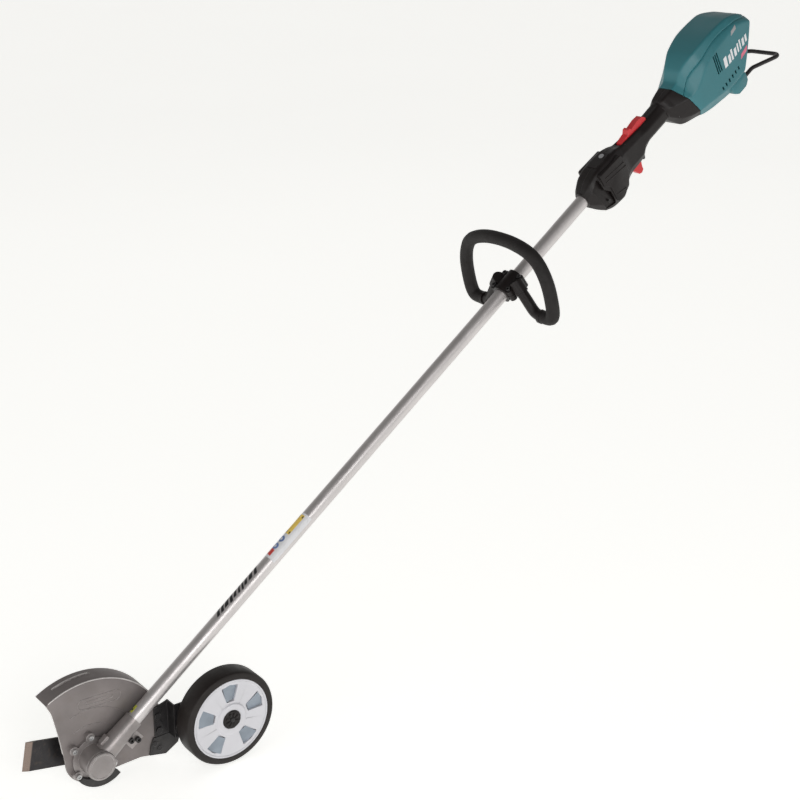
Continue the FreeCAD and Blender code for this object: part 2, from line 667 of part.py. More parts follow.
def loop_handle():
    core_path, arm, slope = loop_path(0)
    core = tube_along(core_path, mm.loop_core)
    grip_path = loop_path(20)[0]
    grip = tube_along(grip_path, mm.loop_grip).cut(tube_along(grip_path, mm.loop_core))
    frame = SHAFT.multiply(LOOP)
    keep("loop_handle_core", feature(core), frame)
    keep("loop_handle_grip", feature(grip), frame)
    sockets = []
    for side in (-1, 1):
        start = V(side * (arm.x - slope.x * 3), 0, arm.z - slope.z * 3)
        sockets.append(Part.makeCylinder(12.8, 23, start, V(side * slope.x, 0, slope.z)))
    housing = Part.makeCompound(sockets)
    housing.Placement = LOOP
    core_space = core.copy()
    core_space.Placement = LOOP
    return housing, core_space


def handle_clamp(housing, core_space):
    """Two half shells around the pipe, four screws, and a socket for each end of the loop."""
    start = d.clamp_start
    finish = d.clamp_finish
    bore = rod(PIPE_RADIUS + d.run_gap, start - 20, finish + 20, "y")
    places = [(across, mm.clamp_start + along) for across in (-19, 19) for along in (8, 39)]
    holes = [rod(2.5, -30, 40, "z", place) for place in places]
    bosses = [rod(7, 0.5, 10, "z", place) for place in places]
    feet = [rod(7, -12, -0.5, "z", place) for place in places]
    barrel = rod(d.clamp_radius, start, finish, "y")
    upper_half = common(barrel, block((-30, 30), (start - 1, finish + 1), (0.5, 40)))
    lower_half = common(rod(d.clamp_radius, start, finish, "y"),
                        block((-30, 30), (start - 1, finish + 1), (-40, -0.5)))
    upper = fuse(upper_half, feature(housing), block((-24, 24), (start + 3, finish - 3), (0.5, 8)), *bosses)
    lower_way = block((-27.5, 27.5), (start - 10, finish + 10), (-40, 0.5))
    head_ways = [rod(4.8, 10, 40, "z", place) for place in places]
    keep("handle_clamp_upper", cut(upper, bore, feature(core_space), lower_way, *holes, *head_ways), SHAFT)
    lower = fuse(lower_half, block((-24, 24), (start + 3, finish - 3), (-8, -0.5)), *feet)
    keep("handle_clamp_lower", cut(lower, bore, *holes, feature(core_space.copy())), SHAFT)
    screws = [socket_screw(4.4, 4.5, 2.5, 14.5, -12, place, "z") for place in places]
    keep("handle_clamp_screws", group(*screws), SHAFT)


# ---------------------------------------------------------------- grip and control housing
# Each station: distance up the pipe; half width and height of the top face; height and half width of the
# upper shoulder; height of the lower shoulder; half width and height of the bottom face; corner radius.
NECK_STATIONS = (
    (1303, 10, 14.5, 7, 15.5, -8, 10, -16, 5), (1314, 14, 22.5, 11, 23, -16, 16, -31, 7),
    (1330, 17, 31, 18, 26, -30, 19, -46, 8), (1350, 18, 35.5, 20, 27, -36, 19, -54, 8),
    (1374, 18, 36, 20, 27, -40, 19, -56, 8), (1392, 17, 35.5, 18, 25.5, -34, 17, -48, 8),
    (1408, 14, 32.5, 14, 21, -26, 13, -40, 7), (1424, 11, 26, 12, 17, -24, 11, -38, 6),
    (1456, 11, 22.5, 10, 17, -24, 11, -36, 6), (1474, 11, 21, 10, 19, -10, 11, -23, 7),
    (1490, 9, 20, 9, 19.5, -9, 9, -19.5, 8), (1543, 9.5, 20.5, 9, 20, -9, 9.5, -19.5, 8),
    (1549, 12, 24, 8, 25, -14, 14, -27, 6),
)
COLLAR_STATIONS = (
    (1562, 14, 26, 4, 32, -26, 22, -44, 6), (1592, 17, 29, 2, 45, -35, 31, -51, 7),
    (1612, 23, 46, 8, 49, -37, 34, -59, 9),
)
REAR_STATIONS = (
    (1650, 33, 60, 30, 51, -44, 36, -67, 12), (1690, 37, 64, 40, 52, -50, 38, -71, 12),
    (1740, 36, 60, 42, 51, -48, 38, -68, 12), (1778, 30, 41, 25, 47, -42, 34, -60, 12),
    (1806, 24, 14, 2, 41, -36, 30, -50, 10),
)
HANDLE_STATIONS = NECK_STATIONS + COLLAR_STATIONS
MOTOR_STATIONS = COLLAR_STATIONS + REAR_STATIONS
JOINT_TOP = (1578, 30)
JOINT_FOOT = (1600, -52)
JOINT_SLOPE = (JOINT_TOP[0] - JOINT_FOOT[0]) / (JOINT_TOP[1] - JOINT_FOOT[1])
JOINT_TOP_FAR = (JOINT_TOP[0] + JOINT_SLOPE * 150, JOINT_TOP[1] + 150)
JOINT_FOOT_FAR = (JOINT_FOOT[0] - JOINT_SLOPE * 150, JOINT_FOOT[1] - 150)
PANEL_FACE = 35.5
HOUSING_SCREWS = ((1340, 18), (1338, -28), (1397, -29), (1560, -19), (1582, -27))
SCREW_COLUMN = 4.6
HANDLE_RIBS = (1303, 1345, 1412, 1482, 1534, 1556)
MOTOR_RIBS = (1630, 1654)
RIB = 3
# Openings of the grip: first station, last station, half width.
TRIGGER_SLOT = (1421.5, 1460.5, 7.5)
LOCK_SLOT = (1425, 1507, 8)
LOCK_FLOOR = 15.5
PANEL_SEAT = (1354, 1394, 12)
TRIGGER_PIN = (1424, -26)
LOCK_PIN = (1434, 20.5)
LEVER_PIN = 2.1
# Rear guard wire: half spread, first station and height of its straight legs; and the battery tray.
WIRE_HALF = 41
WIRE_START = 1700
WIRE_LOW = -68
TRAY_DEPTH = 24


def section(station, inset):
    """An eight-cornered outline across the shaft, with an arc at each corner."""
    place, top_half, top, shoulder, half_width, low_shoulder, foot_half, foot, radius = station
    right = [(top_half - inset / 2, top - inset), (half_width - inset, shoulder - inset / 3),
             (half_width - inset, low_shoulder + inset / 3), (foot_half - inset / 2, foot + inset)]
    points = [V(across, place, up) for across, up in right]
    points += [V(-across, place, up) for across, up in reversed(right)]
    arcs = []
    bend = max(radius - inset, 1)
    for index, here in enumerate(points):
        way_in = (here - points[index - 1]).normalize()
        way_out = (points[(index + 1) % len(points)] - here).normalize()
        half = way_in.getAngle(way_out) / 2
        reach = bend * math.tan(half)
        middle = here + (way_out - way_in).normalize() * (bend / math.cos(half) - bend)
        arcs.append(Part.Arc(here - way_in * reach, middle, here + way_out * reach).toShape())
    edges = []
    for index, arc in enumerate(arcs):
        following = arcs[(index + 1) % len(arcs)]
        edges += [arc, Part.LineSegment(arc.Vertexes[-1].Point, following.Vertexes[0].Point).toShape()]
    return Part.Wire(edges)


def loft(stations, inset=0.0):
    return Part.makeLoft([section(station, inset) for station in stations], True, True)


def slab(start, finish):
    return Part.makeBox(240, finish - start, 240, V(-120, start, -120))


def side_profile(points, half_width, centre=0.0):
    """A shape of constant side view, across the shaft."""
    corners = [V(centre - half_width, along, up) for along, up in points]
    return Part.Face(Part.makePolygon(corners + corners[:1])).extrude(V(2 * half_width, 0, 0))


def beyond_joint():
    """Everything behind the slanted joint between the collar and the motor housing."""
    return side_profile([JOINT_TOP_FAR, JOINT_FOOT_FAR, (2200, -400), (2200, 400)], 200)


def slot_box(slot, low, high):
    """A block over the middle of the pipe, from its first and last station, half width and heights."""
    first, last, half = slot
    return Part.makeBox(2 * half, last - first, high - low, V(-half, first, low))


def handle_housings():
    outer = loft(HANDLE_STATIONS)
    inner = loft(HANDLE_STATIONS, mm.wall).common(slab(1306, 1620))
    shell = outer.cut(inner)
    for place in HANDLE_RIBS:
        shell = shell.fuse(outer.common(slab(place, place + RIB)))
    spur = side_profile([(1456, -30), (1459, -42), (1464, -41.5), (1474, -20), (1462, -20)], 6.5)
    panel = side_profile([(1341, 31), (1403, 28), (1404, -12), (1390, -36), (1368, -46), (1353, -44),
                          (1352, -6), (1341, 6)], 1.25, 28.25)
    notch = side_profile([(1318, 14), (1336, 26), (1336, -2), (1346, -14), (1346, -42), (1326, -36)], 1, 27.4)
    shell = shell.fuse([spur, panel]).cut(notch)
    for along, up in HOUSING_SCREWS:
        column = Part.makeCylinder(SCREW_COLUMN, 110, V(-55, along, up), V(1, 0, 0))
        shell = shell.fuse(column.common(outer))
    pipe_space = Part.makeCylinder(mm.pipe_outer / 2, 300, V(0, 1300, 0), V(0, 1, 0))
    trigger_way = slot_box(TRIGGER_SLOT, -60, -20)
    lock_way = slot_box(LOCK_SLOT, LOCK_FLOOR, LOCK_FLOOR + 40)
    switch_way = slot_box((1348, 1388, 12), -46, -16)
    panel_way = slot_box(PANEL_SEAT, PANEL_FACE - 2, PANEL_FACE + 10)
    shell = shell.cut([pipe_space, trigger_way, lock_way, switch_way, panel_way, beyond_joint()])
    for along, up in HOUSING_SCREWS:
        skin = skin_reach(HANDLE_STATIONS, along, up)
        screw = Part.makeCylinder(1.8, 200, V(-60, along, up), V(1, 0, 0))
        screw = screw.common(Part.makeBox(200, 20, 20, V(-12, along - 10, up - 10)))
        recess = Part.makeCylinder(3.4, 40, V(skin - 3, along, up), V(1, 0, 0))
        shell = shell.cut([screw, recess])
    pins = [Part.makeCylinder(LEVER_PIN, 24, V(-12, along, up), V(1, 0, 0)) for along, up in (TRIGGER_PIN, LOCK_PIN)]
    shell = shell.cut(pins)
    left = shell.common(Part.makeBox(200, 400, 300, V(0, 1250, -150)))
    right = shell.common(Part.makeBox(200, 400, 300, V(-200, 1250, -150)))
    keep("handle_housing_left", feature(left), SHAFT)
    keep("handle_housing_right", feature(right), SHAFT)
    screws = []
    for along, up in HOUSING_SCREWS:
        skin = skin_reach(HANDLE_STATIONS, along, up)
        shape = socket_screw(3.1, 2.2, 1.8, skin - 0.8, -12, (along, up))
        screws.append(shape)
    keep("housing_screws", group(*screws), SHAFT)


def skin_reach(stations, along, up):
    """Half width of a lofted housing at a station, for the screws that enter from its side."""
    for first, second in zip(stations, stations[1:]):
        if first[0] <= along <= second[0]:
            share = (along - first[0]) / (second[0] - first[0])
            return first[4] + (second[4] - first[4]) * share
    raise ValueError("no such station")


def trigger():
    blade_shape = side_profile([(1419, -29), (1420, -22), (1428, -21), (1453, -24), (1453, -37), (1449.5, -48),
                                (1448.5, -56), (1442.5, -59), (1436.5, -57), (1431.5, -47), (1426, -40),
                                (1422.5, -37)], 6.6)
    bore = Part.makeCylinder(2.05, 20, V(-10, *TRIGGER_PIN), V(1, 0, 0))
    spring_space = Part.makeCylinder(5.2, 5, V(2.6, *TRIGGER_PIN), V(1, 0, 0))
    keep("trigger", feature(blade_shape.cut([bore, spring_space])), SHAFT)
    pins = [rod(2, -12, 12, "x", place) for place in (TRIGGER_PIN, LOCK_PIN)]
    keep("lever_pins", group(*pins), SHAFT)
    coils = [Part.makeTorus(3.4, 0.5, V(3.4 + 1.15 * index, *TRIGGER_PIN), V(1, 0, 0)) for index in range(3)]
    keep("trigger_spring", feature(Part.makeCompound(coils)), SHAFT)


def lock_off_lever():
    lever = side_profile([(1429, 19), (1431, 24), (1441, 26.5), (1452, 28), (1457, 34.5), (1462, 34.5), (1465, 30),
                          (1484, 32.5), (1498, 31), (1504, 24.5), (1504, 19.5), (1438, 17.6)], 6.8)
    bore = Part.makeCylinder(2.05, 20, V(-10, *LOCK_PIN), V(1, 0, 0))
    keep("lock_off_lever", feature(lever.cut(bore)), SHAFT)


def controls():
    body = block((-11, 11), (1348, 1384), (-45, -20))
    plunger = rod(2.5, 1384, 1388, "y", (0, -34))
    keep("trigger_switch", fuse(body, plunger), SHAFT)
    face = PANEL_FACE
    panel = block((-12, 12), (1354, 1394), (face - 2, face + 1))
    keep("control_panel", cut(panel, rod(5.35, face - 4, face + 4, "z", (0, 1384))), SHAFT)
    keep("power_button", rod(5, face - 0.8, face + 2.2, "z", (0, 1384)), SHAFT)


# ---------------------------------------------------------------- motor housing
def rear_frame():
    """The slanted rear plane: its low point, its upward direction and its outward normal."""
    low = V(0, mm.rear_low, -60)
    high = V(0, mm.rear_high, 20)
    up = (high - low).normalize()
    outward = V(0, up.z, -up.y)
    return low, up, outward


def behind_plane(offset):
    """Everything behind the rear plane moved outward by offset."""
    low, up, outward = rear_frame()
    centre = low + up * 60 + outward * offset
    side = V(1, 0, 0)
    size = 200
    corners = [centre - side * size - up * size, centre + side * size - up * size,
               centre + side * size + up * size, centre - side * size + up * size]
    return Part.Face(Part.makePolygon(corners + corners[:1])).extrude(outward * 300)


def ahead_of_joint():
    """Everything in front of the slanted joint between the collar and the motor housing."""
    return side_profile([JOINT_TOP_FAR, JOINT_FOOT_FAR, (1200, -400), (1200, 400)], 200)


def ahead_of_front_wall():
    """Everything in front of the motor housing's cavity, whose front wall follows the slanted joint."""
    top, foot = JOINT_TOP_FAR, JOINT_FOOT_FAR
    corners = [(top[0] + mm.wall, top[1]), (foot[0] + mm.wall, foot[1]), (1200, -400), (1200, 400)]
    return side_profile(corners, 200)


def motor_housings():
    outer = loft(MOTOR_STATIONS)
    inner = loft(MOTOR_STATIONS, mm.wall).common(slab(1560, 1900)).cut(ahead_of_front_wall())
    shell = outer.cut(inner)
    lugs = [Part.makeBox(15, 48, 30, V(side * 41 - 7.5, 1680, -82)) for side in (-1, 1)]
    feet = []
    for lug in lugs:
        edges = [edge for edge in lug.Edges if abs(edge.tangentAt(edge.FirstParameter).x) > 0.9]
        low_edges = [edge for edge in edges if edge.CenterOfMass.z < -80]
        feet.append(lug.makeFillet(9, low_edges).cut(inner))
    shell = shell.cut(behind_plane(0)).fuse(feet).cut(ahead_of_joint())
    front = [outer.common(slab(place, place + 4)).cut(Part.makeCylinder(30, 20, V(0, place - 5, 0), V(0, 1, 0)))
             for place in MOTOR_RIBS]
    shaft_way = Part.makeCylinder(11, 60, V(0, 1560, 0), V(0, 1, 0))
    bulkhead = outer.common(slab(1611, 1614)).cut(Part.makeCylinder(11, 20, V(0, 1605, 0), V(0, 1, 0)))
    tail = outer.common(slab(1686, 1689)).cut(Part.makeCylinder(11, 20, V(0, 1680, 0), V(0, 1, 0)))
    tail = tail.cut(behind_plane(-TRAY_DEPTH - 3).common(inner))
    wires = [Part.makeCylinder(4, 80, V(side * WIRE_HALF, WIRE_START, WIRE_LOW), V(0, 1, 0)) for side in (-1, 1)]
    shell = shell.fuse(front + [bulkhead, tail]).cut(wires + [shaft_way])
    vents = []
    for index in range(3):
        vents.append(Part.makeBox(200, 5, 30, V(-100, 1668 + index * 8, -6 - index * 3)))
    for index in range(5):
        vents.append(Part.makeBox(200, 4, 9, V(-100, 1660 + index * 9, -36 + index * 1.5)))
    keep_out = Part.makeBox(60, 400, 200, V(-30, 1500, -100))
    shell = shell.cut([vent.cut(keep_out) for vent in vents])
    above = side_profile([(1594, 16), (1612, 31), (1648, 43), (1694, 53), (1745, 48), (1830, 6), (1830, 200),
                          (1594, 200)], 150)
    keep("motor_top_cover", feature(shell.common(above)), SHAFT)
    below = shell.cut(above)
    keep("motor_housing_left", feature(below.common(Part.makeBox(200, 400, 300, V(0, 1550, -150)))), SHAFT)
    keep("motor_housing_right", feature(below.common(Part.makeBox(200, 400, 300, V(-200, 1550, -150)))), SHAFT)
    return inner


def motor():
    gap = d.run_gap
    keep("shaft_coupling", ring(d.shaft_radius, 9, 1582, 1604, "y"), SHAFT)
    shaft = rod(d.shaft_radius, d.joint_station, 1696, "y")
    core = rod(17, 1628, 1660, "y")
    keep("motor_rotor", fuse(shaft, core), SHAFT)
    stator = ring(18, 30, 1626, 1662, "y")
    slots = []
    for index in range(9):
        across, up = polar(18.5, index * 40)
        slots.append(rod(3.2, 1620, 1670, "y", (across, up)))
    keep("motor_stator", cut(stator, *slots), SHAFT)
    keep("motor_bearings", group(ring(d.shaft_radius + gap, 11, 1607, 1614, "y"),
                                 ring(d.shaft_radius + gap, 11, 1686, 1693, "y")), SHAFT)
    hub = ring(d.shaft_radius, 9, 1668, 1680, "y")
    vanes = []
    for index in range(9):
        vane = Part.makeBox(18, 10, 1.6, V(8, 1669, -0.8))
        vane.rotate(V(8, 1674, 0), V(1, 0, 0), 28)
        vane.rotate(V(0, 0, 0), V(0, 1, 0), index * 40)
        vanes.append(vane)
    keep("motor_fan", fuse(hub, feature(Part.makeCompound(vanes))), SHAFT)


def battery_bay(inner):
    """A dark tray across the slanted rear opening, with two slide rails and a terminal block."""
    low, up, outward = rear_frame()
    back = behind_plane(-TRAY_DEPTH - 3)
    front = behind_plane(-TRAY_DEPTH)
    floor = back.cut(front).common(inner)
    rim = back.cut(behind_plane(-1.5)).common(inner)
    hollow = box_on_rear(-32, 32, 8, 112, -TRAY_DEPTH, 40)
    tray = floor.fuse(rim.cut(hollow))
    rails = []
    for side in (-1, 1):
        start, finish = sorted((side * 32, side * 24))
        rails.append(box_on_rear(start, finish, 8, 96, -8, -4))
    tray = tray.fuse(rails)
    keep("battery_bay", feature(tray), SHAFT)
    block_shape = box_on_rear(-14, 14, 20, 66, -TRAY_DEPTH, -14)
    slots = [box_on_rear(across - 1, across + 1, 30, 70, -22, -10) for across in (-9, -3, 3, 9)]
    keep("battery_terminals", feature(block_shape.cut(slots)), SHAFT)


def box_on_rear(left, right, low_reach, high_reach, inner_depth, outer_depth):
    """A box square to the rear plane: across, up the plane, and out of it."""
    low, up, outward = rear_frame()
    corners = []
    for across, reach in ((left, low_reach), (right, low_reach), (right, high_reach), (left, high_reach)):
        corners.append(low + V(across, 0, 0) + up * reach + outward * inner_depth)
    return Part.Face(Part.makePolygon(corners + corners[:1])).extrude(outward * (outer_depth - inner_depth))


def rear_guard_wire():
    """A bent steel rod behind the battery, from one foot lug round to the other."""
    right = [(V(WIRE_HALF, WIRE_START, WIRE_LOW), 0), (V(WIRE_HALF, 1752, WIRE_LOW), 30),
             (V(WIRE_HALF + 2, 1829, -101), 17)]
    left = [(V(-point.x, point.y, point.z), radius) for point, radius in reversed(right)]
    keep("rear_guard_wire", feature(tube_along(rounded_path(right + left), 4)), SHAFT)


def controller():
    board = block((-26, 26), (1635, 1653), (-44, -40))
    parts = [block((-20, -6), (1637, 1651), (-40, -34)), block((4, 18), (1637, 1651), (-40, -33))]
    keep("motor_controller", fuse(board, *parts), SHAFT)


# ---------------------------------------------------------------- build, check and write
gear_case()
gear_case_cap()
neck_clamp_bolts()
bevel_gear()
bevel_pinion()
output_spindle()
bearings()
blade_set()
blade_guard()
guard_fasteners()
guard_lip()
debris_flap()
wheel_bracket()
wheel_arm()
arm_hardware()
wheel_set()
pipe_and_shaft()
clamp_housing, clamp_core = loop_handle()
handle_clamp(clamp_housing, clamp_core)
handle_housings()
trigger()
lock_off_lever()
controls()
motor_space = motor_housings()
motor()
battery_bay(motor_space)
rear_guard_wire()
controller()
doc.recompute()

for item in doc.Objects:
    if "Invalid" in item.State or "Error" in item.State:
        raise RuntimeError(f"{item.Name} ({item.Label}) failed: {item.State}")

os.makedirs("parts", exist_ok=True)
overall = FreeCAD.BoundBox()
for node, item in nodes.items():
    shape = item.Shape
    if shape.isNull() or not shape.isValid():
        raise RuntimeError(f"{node} is not a valid shape")
    if not shape.Solids:
        raise RuntimeError(f"{node} has no solid")
    overall.add(shape.BoundBox)
    shape.exportStep(f"parts/{node}.step")
print(len(nodes), "sub-parts, overall box", overall)
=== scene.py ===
"""Lawn edger: finishes, moulded housings, markings, floor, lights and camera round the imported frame."""

import json
import math

import bmesh
import bpy
import numpy as np
from mathutils import Euler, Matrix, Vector
from mathutils.bvhtree import BVHTree


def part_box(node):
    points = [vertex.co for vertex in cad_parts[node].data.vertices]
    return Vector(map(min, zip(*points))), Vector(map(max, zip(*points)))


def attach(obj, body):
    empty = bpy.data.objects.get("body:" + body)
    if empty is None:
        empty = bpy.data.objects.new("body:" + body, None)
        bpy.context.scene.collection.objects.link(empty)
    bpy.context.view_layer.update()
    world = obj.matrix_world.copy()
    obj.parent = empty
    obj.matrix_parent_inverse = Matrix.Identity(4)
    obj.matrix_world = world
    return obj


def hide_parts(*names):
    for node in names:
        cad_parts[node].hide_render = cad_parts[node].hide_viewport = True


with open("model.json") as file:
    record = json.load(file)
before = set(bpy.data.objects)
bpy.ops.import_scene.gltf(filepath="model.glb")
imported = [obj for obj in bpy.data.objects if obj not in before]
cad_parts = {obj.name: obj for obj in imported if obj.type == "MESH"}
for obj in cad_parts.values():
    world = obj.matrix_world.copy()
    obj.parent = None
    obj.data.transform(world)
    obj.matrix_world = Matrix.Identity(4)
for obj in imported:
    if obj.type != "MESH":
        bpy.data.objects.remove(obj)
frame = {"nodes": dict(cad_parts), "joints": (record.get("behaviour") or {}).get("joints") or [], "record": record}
for leftover in ("Cube", "Light", "Camera"):
    if leftover in bpy.data.objects:
        bpy.data.objects.remove(bpy.data.objects[leftover], do_unlink=True)
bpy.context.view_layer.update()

# ---------------------------------------------------------------- places
# Lengths are in millimetres, except in materials, the floor, the lights and the camera: those are in metres.
JOINTS = {joint["name"]: joint for joint in frame["joints"]}
HEAD = Vector(JOINTS["blade_spin"]["pos_m"])
ALONG = Vector(JOINTS["drive_spin"]["axis"]).normalized()
OUT = Vector((0, -ALONG.z, ALONG.y))
TILT = math.atan2(ALONG.z, ALONG.y)
WHEEL = Vector(JOINTS["wheel_spin"]["pos_m"])
PIPE_RADIUS = 12.7
PIPE_BORE_RADIUS = 11.2


def on_shaft(across, station, up):
    """A point in metres from millimetres: across the pipe, along it from the head, and square to it."""
    return HEAD + (Vector((across, 0, 0)) + float(station) * ALONG + float(up) * OUT) / 1000


def on_head(x, y, z):
    """A point in metres from millimetres off the blade's centre."""
    return HEAD + Vector((x, y, z)) / 1000


def on_wheel(x, y, z):
    """A point in metres from millimetres off the wheel's centre."""
    return WHEEL + Vector((x, y, z)) / 1000


# ---------------------------------------------------------------- finishes
BLADE_REST = -11.5        # degrees that the bar blade is turned at rest
GROUND_FROM = 0.0905      # metres from the blade's centre where its ground end begins
GROUND_FULL = 0.0925
SCRATCH_TURN = 0.7


class Finish:
    """A material being put together: its nodes, its links and its shader."""

    def __init__(self, name):
        self.material = bpy.data.materials.new(name)
        self.material.use_nodes = True
        self.tree = self.material.node_tree
        self.shader = self.tree.nodes["Principled BSDF"]
        self.place = self.add("ShaderNodeTexCoord").outputs["Object"]

    def add(self, kind, **settings):
        node = self.tree.nodes.new(kind)
        for key, value in settings.items():
            setattr(node, key, value)
        return node

    def link(self, source, target):
        self.tree.links.new(source, target)

    def stretched(self, turn, scale):
        """Coordinates turned by an angle about x and drawn out along one axis."""
        mapping = self.add("ShaderNodeMapping", vector_type="TEXTURE")
        mapping.inputs["Rotation"].default_value = (turn, 0, 0)
        mapping.inputs["Scale"].default_value = scale
        self.link(self.place, mapping.inputs["Vector"])
        return mapping.outputs["Vector"]

    def noise(self, scale, detail=3.0, rough=0.5, vector=None):
        node = self.add("ShaderNodeTexNoise")
        node.inputs["Scale"].default_value = scale
        node.inputs["Detail"].default_value = detail
        node.inputs["Roughness"].default_value = rough
        self.link(vector or self.place, node.inputs["Vector"])
        return node.outputs["Fac"]

    def ramp(self, value, low, high, start=0.0, finish=1.0):
        node = self.add("ShaderNodeMapRange")
        for key, number in (("From Min", low), ("From Max", high), ("To Min", start), ("To Max", finish)):
            node.inputs[key].default_value = number
        self.link(value, node.inputs["Value"])
        return node.outputs["Result"]

    def times(self, first, second):
        node = self.add("ShaderNodeMath", operation="MULTIPLY")
        self.link(first, node.inputs[0])
        self.link(second, node.inputs[1])
        return node.outputs[0]

    def blend(self, share, first, second):
        node = self.add("ShaderNodeMix", data_type="RGBA")
        self.link(share, node.inputs["Factor"])
        for key, colour in (("A", first), ("B", second)):
            socket = [item for item in node.inputs if item.name == key and item.type == "RGBA"][0]
            if isinstance(colour, tuple):
                socket.default_value = (*colour, 1)
            else:
                self.link(colour, socket)
        return [item for item in node.outputs if item.type == "RGBA"][0]

    def edges(self, radius):
        """1 on corners sharper than the radius and 0 on flat faces."""
        bevel = self.add("ShaderNodeBevel", samples=4)
        bevel.inputs["Radius"].default_value = radius
        geometry = self.add("ShaderNodeNewGeometry")
        dot = self.add("ShaderNodeVectorMath", operation="DOT_PRODUCT")
        self.link(bevel.outputs["Normal"], dot.inputs[0])
        self.link(geometry.outputs["Normal"], dot.inputs[1])
        return self.ramp(dot.outputs["Value"], 0.995, 0.86)

    def ground_ends(self):
        """1 on the last few millimetres at both ends of the bar blade."""
        mapping = self.add("ShaderNodeMapping", vector_type="TEXTURE")
        mapping.inputs["Location"].default_value = HEAD
        mapping.inputs["Rotation"].default_value = (math.radians(BLADE_REST), 0, 0)
        self.link(self.place, mapping.inputs["Vector"])
        parts = self.add("ShaderNodeSeparateXYZ")
        self.link(mapping.outputs["Vector"], parts.inputs["Vector"])
        size = self.add("ShaderNodeMath", operation="ABSOLUTE")
        self.link(parts.outputs["Y"], size.inputs[0])
        past = self.ramp(size.outputs[0], GROUND_FROM, GROUND_FULL)
        return self.times(past, self.ramp(self.noise(300, 4), 0.2, 0.5, 0.7, 1.0))

    def bump(self, height, depth, strength=0.5):
        node = self.add("ShaderNodeBump")
        node.inputs["Strength"].default_value = strength
        node.inputs["Distance"].default_value = depth
        self.link(height, node.inputs["Height"])
        self.link(node.outputs["Normal"], self.shader.inputs["Normal"])


def finish(name, colour, rough, metallic=0.0, spread=0.16, blotch=18, grain=1400, depth=0.00006, wear=None,
           wear_share=0.5, wear_size=0.0008, rough_spread=0.1, drawn=None, coat=0.0, dust=None, specular=0.5,
           scratches=0.0, tips=None):
    """A worn, slightly uneven surface: colour drifts, roughness varies, a fine grain, and rubbed corners."""
    item = Finish(name)
    shader = item.shader
    shader.inputs["Metallic"].default_value = metallic
    shader.inputs["Coat Weight"].default_value = coat
    shader.inputs["Specular IOR Level"].default_value = specular
    low = tuple(channel * (1 - spread) for channel in colour)
    high = tuple(min(1.0, channel * (1 + spread)) for channel in colour)
    drift = item.ramp(item.noise(blotch, 5), 0.3, 0.7)
    paint = item.blend(drift, low, high)
    if dust:
        cover = item.ramp(item.noise(blotch * 3.1, 8, 0.65), 0.52, 0.8, 0.0, 0.55)
        paint = item.blend(cover, paint, dust)
    if wear:
        rubbed = item.times(item.edges(wear_size), item.ramp(item.noise(160, 4), 0.35, 0.62, 0.0, wear_share))
        paint = item.blend(rubbed, paint, wear)
    if tips:
        paint = item.blend(item.ground_ends(), paint, tips)
    item.link(paint, shader.inputs["Base Color"])
    vector = item.stretched(*drawn) if drawn else None
    fine = item.noise(grain if not drawn else 1.0, 4, 0.6, vector)
    cloud = item.noise(blotch * 2.3, 4)
    uneven = item.add("ShaderNodeMath", operation="ADD")
    item.link(item.ramp(cloud, 0.3, 0.7, rough - rough_spread, rough + rough_spread * 0.5), uneven.inputs[0])
    item.link(item.ramp(fine, 0.3, 0.7, 0.0, rough_spread * 0.5), uneven.inputs[1])
    item.link(uneven.outputs[0], shader.inputs["Roughness"])
    height = fine
    if scratches:
        marks = item.noise(1.0, 2, 0.5, item.stretched(SCRATCH_TURN, (1 / 90, 1 / 1500, 1 / 90)))
        mixed = item.add("ShaderNodeMath", operation="MULTIPLY_ADD")
        mixed.inputs[1].default_value = scratches
        item.link(marks, mixed.inputs[0])
        item.link(fine, mixed.inputs[2])
        height = mixed.outputs[0]
    item.bump(height, depth)
    return item.material


def ink(name, colour, rough=0.38, spread=0.16):
    """A thin printed mark."""
    return finish(name, colour, rough, spread=spread, blotch=90, grain=2400, depth=0.00002)


